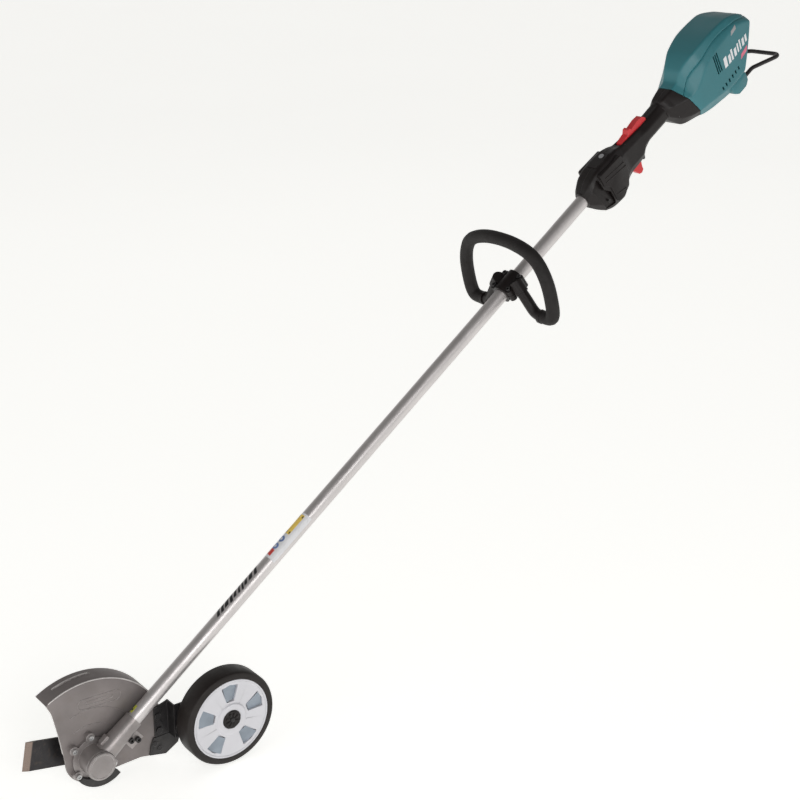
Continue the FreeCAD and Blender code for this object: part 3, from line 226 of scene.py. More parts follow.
# Grain drawn out along one direction: its turn about x, and its size each way.
ALONG_PIPE = (TILT, (1 / 1600, 1 / 14, 1 / 1600))
ALONG_BLADE = (0.0, (1 / 60, 1 / 1400, 1 / 30))
ALONG_WINDING = (TILT, (1 / 900, 1 / 2400, 1 / 900))
M = {
    # The guard's pale rubbed corners are partly real wear and partly a painted highlight along its edges.
    "guard": finish("cast_grey_guard", (0.23, 0.205, 0.2), 0.48, 0.35, blotch=14, grain=1100, depth=0.00012,
                    wear=(0.72, 0.7, 0.68), wear_share=0.85, wear_size=0.0011, dust=(0.2, 0.17, 0.155),
                    scratches=0.8),
    # guard_rim_wear_and_highlight: a pale finish for the guard's beads, partly real rubbed wear and partly a
    # painted highlight along its corner, roof rib and front hem.
    "guard_rim_wear_and_highlight": finish("rubbed_guard_edge_and_painted_highlight", (0.6, 0.575, 0.56), 0.42, 0.45, blotch=60, grain=1300,
                        depth=0.00006, dust=(0.3, 0.27, 0.26)),
    "case": finish("cast_alloy", (0.31, 0.285, 0.28), 0.38, 0.6, blotch=30, grain=900, depth=0.00016,
                   wear=(0.85, 0.84, 0.83), wear_share=0.8, wear_size=0.001, dust=(0.3, 0.26, 0.24)),
    "pipe": finish("drawn_aluminium_pipe", (0.63, 0.6, 0.595), 0.4, 0.78, spread=0.06, blotch=9,
                   drawn=ALONG_PIPE, depth=0.00002, rough_spread=0.08),
    "steel": finish("plated_steel", (0.5, 0.5, 0.5), 0.32, 1.0, blotch=60, grain=2200, depth=0.00003,
                    wear=(0.8, 0.8, 0.8)),
    "dark_steel": finish("blackened_steel", (0.035, 0.033, 0.034), 0.42, 0.6, blotch=60, grain=2000,
                         depth=0.00005, wear=(0.35, 0.34, 0.33), wear_share=0.7),
    "blade": finish("ground_blade_steel", (0.042, 0.04, 0.042), 0.34, 0.75, blotch=40, drawn=ALONG_BLADE,
                    depth=0.00004, wear=(0.5, 0.44, 0.4), wear_share=0.9, dust=(0.11, 0.085, 0.07),
                    tips=(0.27, 0.21, 0.18)),
    "tyre": finish("tyre_rubber", (0.0145, 0.011, 0.0098), 0.5, blotch=26, grain=1300, depth=0.00011,
                   wear=(0.07, 0.06, 0.056), wear_share=0.5, wear_size=0.0016, dust=(0.034, 0.028, 0.025),
                   specular=0.32),
    "hub": finish("white_wheel_plastic", (0.66, 0.655, 0.69), 0.36, spread=0.035, blotch=22, grain=900,
                  depth=0.00005, wear=(0.86, 0.86, 0.88)),
    # pocket: painted shade, a darker blue-grey for the shade inside the white hub's recessed pockets.
    "pocket": finish("painted_shade_wheel_pocket", (0.26, 0.3, 0.35), 0.42, spread=0.12, blotch=40, grain=900,
                     depth=0.00005, wear=(0.6, 0.63, 0.68)),
    "black": finish("black_moulded_plastic", (0.0105, 0.0078, 0.0076), 0.4, blotch=26, grain=1500,
                    depth=0.00012, wear=(0.085, 0.07, 0.068), wear_share=0.55, dust=(0.018, 0.0145, 0.014),
                    specular=0.3),
    "grip": finish("soft_black_foam", (0.011, 0.009, 0.0088), 0.66, blotch=40, grain=1900, depth=0.00024,
                   wear=(0.04, 0.036, 0.036), rough_spread=0.08, dust=(0.022, 0.02, 0.02), specular=0.35),
    "teal": finish("teal_moulded_plastic", (0.03, 0.165, 0.19), 0.42, spread=0.06, blotch=12, grain=1300,
                   depth=0.00009, wear=(0.1, 0.36, 0.39), wear_share=0.5, rough_spread=0.07),
    "red": finish("red_moulded_plastic", (0.6, 0.022, 0.028), 0.36, spread=0.07, blotch=40, grain=1400,
                  depth=0.00007, wear=(0.85, 0.2, 0.18), wear_share=0.5),
    "grey": finish("grey_moulded_plastic", (0.3, 0.3, 0.31), 0.42, blotch=60, grain=1500,
                   wear=(0.5, 0.5, 0.5)),
    "rubber": finish("flap_rubber", (0.03, 0.028, 0.028), 0.62, blotch=34, grain=800, depth=0.0002,
                     wear=(0.1, 0.095, 0.09), dust=(0.07, 0.06, 0.052)),
    "copper": finish("wound_copper", (0.62, 0.27, 0.13), 0.34, 0.8, blotch=90, drawn=ALONG_WINDING,
                     depth=0.0002, wear=(0.8, 0.45, 0.3)),
    "bronze": finish("sintered_bronze", (0.42, 0.27, 0.12), 0.42, 0.9, blotch=80, grain=2600, depth=0.00006),
    "board": finish("circuit_board", (0.02, 0.12, 0.06), 0.4, blotch=200, grain=900, depth=0.00008),
    "ink_black": ink("black_ink", (0.018, 0.018, 0.02), 0.4),
    "ink_white": ink("white_print", (0.74, 0.74, 0.76), spread=0.04),
    "ink_red": ink("red_print", (0.62, 0.06, 0.05)),
    "ink_blue": ink("blue_print", (0.13, 0.2, 0.42)),
    "ink_yellow": ink("yellow_print", (0.9, 0.62, 0.13)),
    "ink_lime": ink("lime_print", (0.5, 0.52, 0.06)),
    "ink_pink": ink("rose_print", (0.7, 0.16, 0.24)),
}
BY_SLOT = {
    "guard_metal": "guard", "polished_aluminium": "pipe", "black_steel": "dark_steel", "zinc_steel": "steel",
    "blade_steel": "blade", "gear_steel": "steel", "bearing_steel": "steel", "black_plastic": "black",
    "black_rubber": "rubber", "tyre_rubber": "tyre", "white_plastic": "hub", "red_plastic": "red",
    "teal_plastic": "teal", "grey_plastic": "grey", "copper_steel": "copper", "bronze": "bronze",
    "circuit_board": "board",
}
BY_NODE = {
    "gear_case": "case", "gear_case_cap": "case", "loop_handle_grip": "grip",
    "neck_clamp_bolts": "dark_steel", "flap_rivets": "dark_steel", "bracket_bolts": "dark_steel",
    "lever_pins": "dark_steel", "housing_screws": "dark_steel",
}
slots = {part["node"]: part["material_slot"] for part in frame["record"]["subparts"]}


def softener():
    """Welds the split corners of a faceted solid, and shades it smooth except over sharp edges."""
    group = bpy.data.node_groups.new("soften", "GeometryNodeTree")
    group.interface.new_socket("Geometry", in_out="INPUT", socket_type="NodeSocketGeometry")
    group.interface.new_socket("Geometry", in_out="OUTPUT", socket_type="NodeSocketGeometry")
    first = group.nodes.new("NodeGroupInput")
    weld = group.nodes.new("GeometryNodeMergeByDistance")
    weld.inputs["Distance"].default_value = 2e-6
    plain = group.nodes.new("GeometryNodeRemoveAttribute")
    plain.inputs["Name"].default_value = "custom_normal"
    faces = group.nodes.new("GeometryNodeSetShadeSmooth")
    angle = group.nodes.new("GeometryNodeInputMeshEdgeAngle")
    sharp = group.nodes.new("FunctionNodeCompare")
    sharp.operation = "GREATER_THAN"
    sharp.inputs[1].default_value = math.radians(32)
    edges = group.nodes.new("GeometryNodeSetShadeSmooth")
    edges.domain = "EDGE"
    edges.inputs["Shade Smooth"].default_value = False
    last = group.nodes.new("NodeGroupOutput")
    group.links.new(first.outputs[0], weld.inputs["Geometry"])
    group.links.new(weld.outputs["Geometry"], plain.inputs["Geometry"])
    group.links.new(plain.outputs["Geometry"], faces.inputs["Geometry"])
    group.links.new(faces.outputs["Geometry"], edges.inputs["Geometry"])
    group.links.new(angle.outputs["Unsigned Angle"], sharp.inputs[0])
    group.links.new(sharp.outputs["Result"], edges.inputs["Selection"])
    group.links.new(edges.outputs["Geometry"], last.inputs[0])
    return group


SOFTEN = softener()
NO_BEVEL = {"main_pipe", "drive_shaft", "loop_handle_grip", "trigger_spring", "loop_handle_core"}
PLAIN_EASE = 0.35
EASE = {"wheel_tyre": 1.2, "wheel_hub": 0.9, "trigger": 1.6, "lock_off_lever": 1.5, "blade_guard": 0.7,
        "gear_case": 0.8, "gear_case_cap": 1.0, "handle_clamp_upper": 1.1, "handle_clamp_lower": 1.1,
        "guard_lower_lip": 1.0, "wheel_arm": 0.8, "wheel_bracket": 0.7, "depth_clamp_knob": 1.0}


def add_bevel(obj, width, angle=32, segments=3):
    """Eases the corners sharper than the angle."""
    bevel = obj.modifiers.new("eased", "BEVEL")
    bevel.width = width / 1000
    bevel.segments = segments
    bevel.limit_method = "ANGLE"
    bevel.angle_limit = math.radians(angle)
    bevel.use_clamp_overlap = True
    bevel.harden_normals = True
    bevel.miter_outer = "MITER_ARC"


for name, node in frame["nodes"].items():
    material = M[BY_NODE.get(name, BY_SLOT[slots[name]])]
    for index in range(len(node.material_slots)):
        node.material_slots[index].material = material
    soften = node.modifiers.new("soften", "NODES")
    soften.node_group = SOFTEN
    if name not in NO_BEVEL:
        add_bevel(node, EASE.get(name, PLAIN_EASE))


# ---------------------------------------------------------------- mesh helpers
def mesh_piece(name, verts, faces, material, body, angle=35, replaces=()):
    """A piece from points in metres, shaded smooth except over edges sharper than the angle."""
    mesh = bpy.data.meshes.new(name)
    mesh.from_pydata([tuple(v) for v in verts], [], faces)
    mesh.validate()
    shape = bmesh.new()
    shape.from_mesh(mesh)
    bmesh.ops.recalc_face_normals(shape, faces=shape.faces)
    shape.to_mesh(mesh)
    shape.free()
    mesh.materials.append(M[material])
    obj = bpy.data.objects.new(name, mesh)
    bpy.context.scene.collection.objects.link(obj)
    shade(obj, angle)
    if body:
        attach(obj, body)
    if replaces:
        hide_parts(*replaces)
    return obj


def shade(obj, angle=35):
    """Shades a piece smooth except over edges sharper than the angle."""
    obj.data.polygons.foreach_set("use_smooth", [True] * len(obj.data.polygons))
    obj.data.set_sharp_from_angle(angle=math.radians(angle))


def settle(obj, angle=35):
    """Turns the modifiers of a piece into its mesh."""
    graph = bpy.context.evaluated_depsgraph_get()
    mesh = bpy.data.meshes.new_from_object(obj.evaluated_get(graph))
    obj.modifiers.clear()
    obj.data = mesh
    shade(obj, angle)


def pchip(known, values, wanted):
    """Monotone cubic curves through rows of values, without overshoot."""
    known, values, wanted = (np.asarray(item, float) for item in (known, values, wanted))
    step = np.diff(known)[:, None]
    slope = np.diff(values, axis=0) / step
    inner = np.zeros_like(slope[1:])
    same = slope[:-1] * slope[1:] > 0
    heavy, light = 2 * step[1:] + step[:-1], step[1:] + 2 * step[:-1]
    top = (heavy + light) * slope[:-1] * slope[1:]
    low = heavy * slope[1:] + light * slope[:-1]
    inner[same] = (top[same] / low[same])
    tangent = np.vstack([slope[:1], inner, slope[-1:]])
    index = np.clip(np.searchsorted(known, wanted) - 1, 0, len(known) - 2)
    width = step[index]
    t = ((wanted - known[index]) / width[:, 0])[:, None]
    return ((2 * t**3 - 3 * t**2 + 1) * values[index] + (t**3 - 2 * t**2 + t) * width * tangent[index]
            + (3 * t**2 - 2 * t**3) * values[index + 1] + (t**3 - t**2) * width * tangent[index + 1])


def rounded(points, radius, closed=True, count=5):
    """A polygon with each corner drawn as a short curve."""
    points = [np.array(point, float) for point in points]
    radii = radius if isinstance(radius, (list, tuple)) else [radius] * len(points)
    result = []
    for index, corner in enumerate(points):
        if not closed and index in (0, len(points) - 1):
            result.append(corner)
            continue
        before, after = points[index - 1], points[(index + 1) % len(points)]
        reach_in, reach_out = np.linalg.norm(before - corner), np.linalg.norm(after - corner)
        into, away = (before - corner) / reach_in, (after - corner) / reach_out
        bend = math.pi - math.acos(max(-1, min(1, float(into @ away))))
        size = radii[index] * math.tan(bend / 2)
        start = corner + into * min(size, reach_in * (0.98 if not closed and index == 1 else 0.48))
        stop = corner + away * min(size, reach_out * 0.48)
        for share in np.linspace(0, 1, count + 1):
            result.append((1 - share)**2 * start + 2 * share * (1 - share) * corner + share**2 * stop)
    return np.array(result)


def prism(name, outline, depth, place, material, body, ease=0.5):
    """A rounded flat shape, given in the second and third coordinates, pulled out along the first."""
    low, high = depth
    outline = [tuple(point) for point in outline]
    count = len(outline)
    verts = [place(low, *point) for point in outline] + [place(high, *point) for point in outline]
    faces = [tuple(range(count)), tuple(range(2 * count - 1, count - 1, -1))]
    faces += [(i, (i + 1) % count, count + (i + 1) % count, count + i) for i in range(count)]
    obj = mesh_piece(name, verts, faces, material, body)
    if ease:
        add_bevel(obj, ease)
        settle(obj)
    return obj


def cutter(outline, depth, place):
    """A shape that rides on no body: it only cuts others, and is discarded."""
    return prism("cutter", outline, depth, place, "black", None, ease=0)


def carve(obj, cutters):
    """Cuts the shapes out of a piece."""
    for tool in cutters:
        cut = obj.modifiers.new("cut", "BOOLEAN")
        cut.operation = "DIFFERENCE"
        cut.solver = "EXACT"
        cut.object = tool
    settle(obj)


def discard(objs):
    for obj in objs:
        bpy.data.objects.remove(obj, do_unlink=True)


# ---------------------------------------------------------------- moulded housings
# Each row: station along the pipe; half width of the top and its height; shoulder height; half width;
# height where the side turns under; half width of the foot and its height; corner radius.
HANDLE_ROWS = (
    (1303, 10, 14.5, 7, 15.5, -8, 10, -16, 5), (1314, 14, 22.5, 11, 23, -16, 16, -31, 7),
    (1330, 17, 31, 18, 26, -30, 19, -46, 8), (1350, 18, 35.5, 20, 27, -36, 19, -54, 8),
    (1374, 18, 36, 20, 27, -40, 19, -56, 8), (1392, 17, 35.5, 18, 25.5, -34, 17, -48, 8),
    (1408, 14, 32.5, 14, 21, -26, 13, -40, 7), (1424, 11, 26, 12, 17, -24, 11, -38, 6),
    (1456, 11, 22.5, 10, 17, -24, 11, -36, 6), (1474, 11, 21, 10, 19, -10, 11, -23, 7),
    (1490, 9, 20, 9, 19.5, -9, 9, -19.5, 8), (1543, 9.5, 20.5, 9, 20, -9, 9.5, -19.5, 8),
    (1549, 12, 24, 8, 25, -14, 14, -27, 6), (1562, 14, 26, 4, 32, -26, 22, -44, 6),
    (1592, 17, 29, 2, 45, -35, 31, -51, 7), (1612, 23, 46, 8, 49, -37, 34, -59, 9))
MOTOR_ROWS = (
    (1540, 11, 20, 4, 25, -20, 18, -38, 6), (1562, 14, 26, 4, 32, -26, 22, -44, 6),
    (1592, 16, 29, 2, 45, -35, 31, -51, 6), (1612, 20, 46, 8, 49, -37, 34, -59, 7),
    (1650, 32, 60, 30, 51, -44, 36, -67, 7), (1690, 37, 64, 39, 52, -50, 38, -71, 7),
    (1740, 37, 60, 40, 51, -48, 38, -68, 7), (1778, 31, 41, 25, 47, -42, 34, -60, 7),
    (1806, 22, 14, 2, 41, -36, 30, -50, 8), (1830, 19, 2, -8, 36, -34, 28, -46, 8))
# Where the top cover meets the sides: station and height.
SEAM = ((1540, 2), (1570, 6), (1594, 16), (1612, 31), (1648, 43), (1694, 53), (1745, 48), (1790, 27),
        (1830, 6))
# Planes that end the shells: station on the pipe's axis, and its change per millimetre of height.
JOINT = (1586.05, -0.2683)
REAR = (1772.25, 0.9375)
JOINT_GAP = 0.35
HANDLE_LEAN_FROM = 1548
MOTOR_FRONT_UNTIL = 1640
MOTOR_BACK_FROM = 1650
MOTOR_MIDDLE = 1645
WALL = 2.6
SHELL_COLUMNS = {"whole": 84, "low": 66, "top": 50}
SHELL_STEP = {"handle": 1.5, "motor": 2.2}


def half_section(row):
    """Half of a housing's outline, from the middle of its top round the side to the middle of its foot."""
    top, peak, shoulder, half, low, foot, bottom, radius = row
    corners = [(0, peak), (top, peak), (half, shoulder), (half, low), (foot, bottom), (0, bottom)]
    line = rounded(corners, radius, closed=False)
    line[-1] = (0, bottom)
    return line


def resample(line, count):
    """The same line with evenly spaced points."""
    reach = np.concatenate([[0], np.cumsum(np.linalg.norm(np.diff(line, axis=0), axis=1))])
    wanted = np.linspace(0, reach[-1], count)
    return np.stack([np.interp(wanted, reach, line[:, 0]), np.interp(wanted, reach, line[:, 1])], 1)


def split_section(row, height):
    """The same outline as two lines, above and below a height on its side."""
    line = resample(half_section(row), 500)
    index = int(np.argmax(line[:, 1] <= height)) if (line[:, 1] <= height).any() else len(line) - 2
    index = min(max(index, 2), len(line) - 3)
    return line[:index + 1], line[index:]


def skin_table(rows, columns, part, start, stop):
    """Points of the skin at every millimetre of station: stations, and across and up by row and column."""
    rows = np.array(rows, float)
    stations = np.arange(start, stop + 1.0)
    shaped = pchip(rows[:, 0], rows[:, 1:], stations)
    seam = np.array(SEAM, float)
    heights = pchip(seam[:, 0], seam[:, 1:], stations)[:, 0]
    table = []
    for values, height in zip(shaped, heights):
        if part == "whole":
            line = half_section(values)
        else:
            line = split_section(values, height)[0 if part == "top" else 1]
        table.append(resample(line, columns))
    return stations, np.array(table)


def lean(stations, table, nominal, amount, slope):
    """Moves each row onto a plane that leans along the pipe, and reads the skin there."""
    columns = table.shape[1]
    picked = np.zeros((len(nominal), columns, 3))
    column = np.arange(columns)
    for row, (station, share) in enumerate(zip(nominal, amount)):
        place = np.full(columns, float(station))
        for _ in range(60):
            spot = np.clip(place, stations[0], stations[-1] - 1e-3)
            index = (spot - stations[0]).astype(int)
            part = (spot - stations[0] - index)[:, None]
            across_up = table[index, column] * (1 - part) + table[index + 1, column] * part
            place = 0.6 * place + 0.4 * (station + share * slope * across_up[:, 1])
        picked[row, :, 0] = across_up[:, 0]
        picked[row, :, 1] = place
        picked[row, :, 2] = across_up[:, 1]
    return picked


def ease_in(value, start, stop):
    """A smooth rise from 0 at start to 1 at stop."""
    share = np.clip((value - start) / (stop - start), 0, 1)
    return share * share * (3 - 2 * share)


def skin_grid(kind, part, columns, step):
    """Rows of points on the left half of a housing, from one of its end planes to the other."""
    if kind == "handle":
        stations, table = skin_table(HANDLE_ROWS, columns, part, 1303, 1612)
        nominal = np.concatenate([np.arange(1303, JOINT[0] - 1, step), [JOINT[0] - JOINT_GAP]])
        amount = ease_in(nominal, HANDLE_LEAN_FROM, JOINT[0])
        return lean(stations, table, nominal, amount, JOINT[1])
    stations, table = skin_table(MOTOR_ROWS, columns, part, 1545, 1829)
    middle = np.arange(JOINT[0] + step, REAR[0] - 1, step)
    nominal = np.concatenate([[JOINT[0] + JOINT_GAP], middle, [REAR[0]]])
    front = lean(stations, table, nominal, 1 - ease_in(nominal, JOINT[0], MOTOR_FRONT_UNTIL), JOINT[1])
    back = lean(stations, table, nominal, ease_in(nominal, MOTOR_BACK_FROM, REAR[0]), REAR[1])
    return np.where((nominal > MOTOR_MIDDLE)[:, None, None], back, front)


def sink(grid, column, depth):
    """Draws one line of a skin in towards the middle, for the groove beside a seam."""
    inward = np.stack([-grid[:, column, 0], -5 - grid[:, column, 2]], 1)
    inward *= depth / np.linalg.norm(inward, axis=1)[:, None]
    grid[:, column, 0] += inward[:, 0]
    grid[:, column, 2] += inward[:, 1]


def skin(name, kind, part, sides, colour, replaced):
    """A moulded shell piece over one or both sides, with a real wall and eased rims."""
    grid = skin_grid(kind, part, SHELL_COLUMNS[part], SHELL_STEP[kind])
    if len(sides) == 2:
        mirrored = grid[:, :0:-1].copy()
        mirrored[:, :, 0] *= -1
        grid = np.concatenate([mirrored, grid], axis=1)
    elif sides[0] < 0:
        grid = grid.copy()
        grid[:, :, 0] *= -1
    if kind == "motor":
        borders = (0, -1) if part == "top" else (0,)
        for column in borders:
            sink(grid, column, 1.5)
            sink(grid, column + (1 if column == 0 else -1), 0.5)
    rows, count, _ = grid.shape
    verts = [on_shaft(*point) for point in grid.reshape(-1, 3)]
    faces = []
    for row in range(rows - 1):
        for column in range(count - 1):
            first = row * count + column
            faces.append((first, first + 1, first + count + 1, first + count))
    obj = mesh_piece(name, verts, faces, colour, "frame", replaces=(replaced,))
    sample = obj.data.polygons[len(obj.data.polygons) // 2]
    axis_point = HEAD + ALONG * (sample.center - HEAD).dot(ALONG)
    if sample.normal.dot(sample.center - axis_point) < 0:
        obj.data.flip_normals()
    wall = obj.modifiers.new("wall", "SOLIDIFY")
    wall.thickness = WALL / 1000
    wall.offset = -1
    wall.use_even_offset = False
    add_bevel(obj, 0.7, 55, 2)
    settle(obj)
    return obj


left_handle = skin("handle_shell_left", "handle", "whole", (1,), "black", "handle_housing_left")
right_handle = skin("handle_shell_right", "handle", "whole", (-1,), "black", "handle_housing_right")
left_motor = skin("motor_shell_left", "motor", "low", (1,), "teal", "motor_housing_left")
right_motor = skin("motor_shell_right", "motor", "low", (-1,), "teal", "motor_housing_right")
skin("motor_shell_top", "motor", "top", (-1, 1), "teal", "motor_top_cover")


def strip(station_low, station_high, up_low, up_high, radius=1.0):
    """A rectangle with eased corners, in station and height."""
    return rounded([(station_low, up_low), (station_high, up_low), (station_high, up_high),
                    (station_low, up_high)], radius)


def both_sides(outline, low, high):
    """Cutters through the left and the right wall, between two distances from the middle."""
    return [cutter(outline, (low, high), on_shaft), cutter(outline, (-high, -low), on_shaft)]


MOTOR_WALL = (30, 70)
HANDLE_WALL = (20, 45)
louvres = []
for index in range(3):
    start = 1663.5 + index * 5
    outline = rounded([(start, -6), (start + 3.4, -7), (start + 7.4, 33), (start + 4, 34)], 1)
    louvres += both_sides(outline, *MOTOR_WALL)
for index in range(6):
    start, low = 1659 + index * 10.5, -42 + index
    louvres += both_sides(strip(start, start + 4.2, low, low + 8, 1.4), *MOTOR_WALL)
for shell, side in ((left_motor, 1), (right_motor, -1)):
    carve(shell, [tool for tool in louvres if (tool.data.vertices[0].co.x > 0) == (side > 0)])
discard(louvres)

# Outlines on the side of the control housing and under the motor, in station and height.
NOTCH = [(1316, 15), (1337, 27), (1338, 0), (1349, -14), (1349, -44), (1326, -38)]
PLATE = [(1341, 31), (1403, 28), (1404, -12), (1390, -36), (1368, -46), (1353, -44), (1352, -6), (1341, 6)]
NOTCH_FLOOR = [(1314, 14), (1339, 29), (1341, 0), (1352, -13), (1352, -47), (1324, -41)]
SPUR = [(1454, -20), (1457, -33), (1459.5, -42), (1464, -41.5), (1468, -31), (1476, -19)]
FOOT = [(1680, -52), (1683, -73), (1694, -82), (1716, -82), (1727, -74), (1728, -52)]
RIBS = (((1349, 18), (1402, 11)), ((1347, 10), (1403, 2)), ((1357, -28), (1382, -34)))
RIB_HALF = 0.8

trigger_slot = cutter(strip(1421.5, 1460.5, -60, -20), (-7.5, 7.5), on_shaft)
lock_off_slot = cutter(strip(1425, 1507, 15.5, 60), (-8, 8), on_shaft)
panel_seat = cutter(strip(1354, 1394, 33.5, 60, 2), (-12, 12), on_shaft)
openings = both_sides(rounded(NOTCH, 2.5), *HANDLE_WALL) + [trigger_slot, lock_off_slot, panel_seat]
for shell in (left_handle, right_handle):
    carve(shell, openings)
discard(openings)


def on_side(name, side, outline, depth, colour, ease):
    """A moulded detail on the left (1) or right (-1) of a housing, between two distances from the middle."""
    prism(name, outline, sorted(side * reach for reach in depth), on_shaft, colour, "frame",
          ease)


for side, word in ((1, "left"), (-1, "right")):
    on_side("side_plate_" + word, side, rounded(PLATE, 5), (19, 29.4), "black", 1.6)
    on_side("notch_floor_" + word, side, rounded(NOTCH_FLOOR, 2), (12, 20.4), "black", 0.5)
    for row, ((near, near_up), (far, far_up)) in enumerate(RIBS):
        bar = [(near, near_up - RIB_HALF), (far, far_up - RIB_HALF), (far, far_up + RIB_HALF),
               (near, near_up + RIB_HALF)]
        on_side(f"plate_rib_{word}_{row}", side, rounded(bar, 0.7), (28.6, 30.1), "black", 0.35)
    on_side("foot_lug_" + word, side, rounded(FOOT, 8), (33.5, 48.5), "teal", 2.2)
prism("guard_spur", rounded(SPUR, 2), (-6.5, 6.5), on_shaft, "black", "frame", 1.4)


# ---------------------------------------------------------------- markings and small parts
def curve_tube(name, points, radius, material, body, replaces=(), closed=False):
    """A round bar that follows a smooth line through points in metres."""
    line = bpy.data.curves.new(name, "CURVE")
    line.dimensions = "3D"
    line.bevel_depth = radius / 1000
    line.bevel_resolution = 5
    line.resolution_u = 10
    line.use_fill_caps = True
    spline = line.splines.new("NURBS")
    spline.points.add(len(points) - 1)
    for item, point in zip(spline.points, points):
        item.co = (*point, 1)
    spline.use_endpoint_u = not closed
    spline.use_cyclic_u = closed
    spline.order_u = 3
    draft = bpy.data.objects.new(name + "_line", line)
    bpy.context.scene.collection.objects.link(draft)
    graph = bpy.context.evaluated_depsgraph_get()
    mesh = bpy.data.meshes.new_from_object(draft.evaluated_get(graph))
    bpy.data.objects.remove(draft, do_unlink=True)
    mesh.materials.clear()
    mesh.materials.append(M[material])
    obj = bpy.data.objects.new(name, mesh)
    bpy.context.scene.collection.objects.link(obj)
    shade(obj, 50)
    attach(obj, body)
    if replaces:
        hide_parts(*replaces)
    return obj


def sheet_between(name, corners, place, material, body, thick, steps=(14, 10)):
    """A thin closed skin over a four-cornered patch; place gives a point and a height above the surface."""
    corners = [np.array(corner, float) for corner in corners]
    across, along = steps
    verts, faces = [], []
    for height in (0.0, thick):
        for row in range(along + 1):
            for column in range(across + 1):
                u, w = column / across, row / along
                spot = ((1 - u) * (1 - w) * corners[0] + u * (1 - w) * corners[1] + u * w * corners[2]
                        + (1 - u) * w * corners[3])
                verts.append(place(*spot, height))
    layer = (across + 1) * (along + 1)
    for row in range(along):
        for column in range(across):
            first = row * (across + 1) + column
            quad = (first, first + 1, first + across + 2, first + across + 1)
            faces.append(quad)
            faces.append(tuple(layer + index for index in reversed(quad)))
    rim = [column for column in range(across)] + [row * (across + 1) + across for row in range(along)]
    rim += [along * (across + 1) + column for column in range(across, 0, -1)]
    rim += [row * (across + 1) for row in range(along, 0, -1)]
    for first, second in zip(rim, rim[1:] + rim[:1]):
        faces.append((first, second, layer + second, layer + first))
    return mesh_piece(name, verts, faces, material, body)


PRINT_GAP = 0.02


def on_pipe(station, angle, height):
    """A point above the pipe's skin, at a station and an angle round it."""
    reach = PIPE_RADIUS + PRINT_GAP + height
    turn = math.radians(angle)
    return on_shaft(reach * math.cos(turn), station, reach * math.sin(turn))


def print_on_pipe(name, stations, angles, material, thick, lean_by=0.0, base=0.0):
    """A mark on the pipe between two stations and two angles, with its far edge shifted by lean_by."""
    low, high = stations
    near, far = angles
    corners = [(low, near), (high, near), (high + lean_by, far), (low + lean_by, far)]

    def place(station, angle, height):
        return on_pipe(station, angle, base + height)

    return sheet_between(name, corners, place, material, "frame", thick)


# Plain bars where the pipe has its lettering: station, width, and the angles they run between.
PIPE_BARS = (
    (297, 6.5, 62, 118), (307, 6.5, 62, 118), (317, 8.5, 66, 116), (329, 6.5, 58, 122), (339, 6.5, 66, 116),
    (350, 4.5, 62, 122), (358, 4.5, 56, 118), (366, 6.5, 66, 116), (377, 8.5, 66, 116), (390, 6.5, 62, 118))
for index, (start, width, near, far) in enumerate(PIPE_BARS):
    print_on_pipe(f"pipe_bar_{index}", (start, start + width), (near, far), "ink_black", 0.1, 9)
print_on_pipe("pipe_wrap", (427, 525), (8, 150), "ink_white", 0.1)
print_on_pipe("pipe_patch_red", (431, 444), (72, 122), "ink_red", 0.08, 2, 0.12)
print_on_pipe("pipe_patch_yellow", (479, 521), (66, 122), "ink_yellow", 0.08, 0, 0.12)
for index, (start, near) in enumerate(((480.5, 69), (480.5, 110), (515, 69), (515, 110))):
    print_on_pipe(f"pipe_patch_corner_{index}", (start, start + 4.5), (near, near + 10), "ink_black", 0.06,
                  0, 0.22)


def disc_on_pipe(name, station, angle, radius, material, base):
    """A thin round patch that follows the pipe."""
    verts, faces, rings, count = [], [], 5, 28
    for height in (0.0, 0.08):
        verts.append(on_pipe(station, angle, base + height))
        for ring in range(1, rings + 1):
            for index in range(count):
                turn = 2 * math.pi * index / count
                reach = radius * ring / rings
                verts.append(on_pipe(station + reach * math.cos(turn),
                                     angle + math.degrees(reach * math.sin(turn) / (PIPE_RADIUS + PRINT_GAP)),
                                     base + height))
    layer = 1 + rings * count
    for lift in (0, layer):
        for index in range(count):
            after = (index + 1) % count
            faces.append((lift, lift + 1 + index, lift + 1 + after))
            for ring in range(rings - 1):
                near, far = lift + 1 + ring * count, lift + 1 + (ring + 1) * count
                faces.append((near + index, far + index, far + after, near + after))
    edge = 1 + (rings - 1) * count
    for index in range(count):
        after = (index + 1) % count
        faces.append((edge + index, edge + after, layer + edge + after, layer + edge + index))
    mesh_piece(name, verts, faces, material, "frame")


for index, station in enumerate((451, 467)):
    disc_on_pipe(f"pipe_disc_{index}", station, 97, 6.4, "ink_blue", 0.12)
    disc_on_pipe(f"pipe_disc_spot_{index}", station, 97, 2.6, "ink_white", 0.22)
print_on_pipe("neck_tab", (92, 106), (84, 128), "ink_lime", 0.15)
print_on_pipe("neck_tab_mark", (95, 99), (96, 116), "ink_black", 0.08, 0, 0.17)


# ---------------------------------------------------------------- prints on the motor housing
FLANK = BVHTree.FromObject(left_motor, bpy.context.evaluated_depsgraph_get())
FLANK_HALF = 51
FLANK_GAP = 0.05
FLANK_LEAN = 4


def on_flank(station, up, height):
    """A point above the left skin of the motor housing, found by looking in from the left."""
    hit, normal, _, _ = FLANK.ray_cast(on_shaft(90, station, up), Vector((-1, 0, 0)))
    if hit is None:
        return on_shaft(FLANK_HALF, station, up)
    if normal.x < 0:
        normal = -normal
    return hit + normal * (FLANK_GAP + height) / 1000


def print_on_flank(name, corners, material):
    sheet_between(name, corners, on_flank, material, "frame", 0.16)


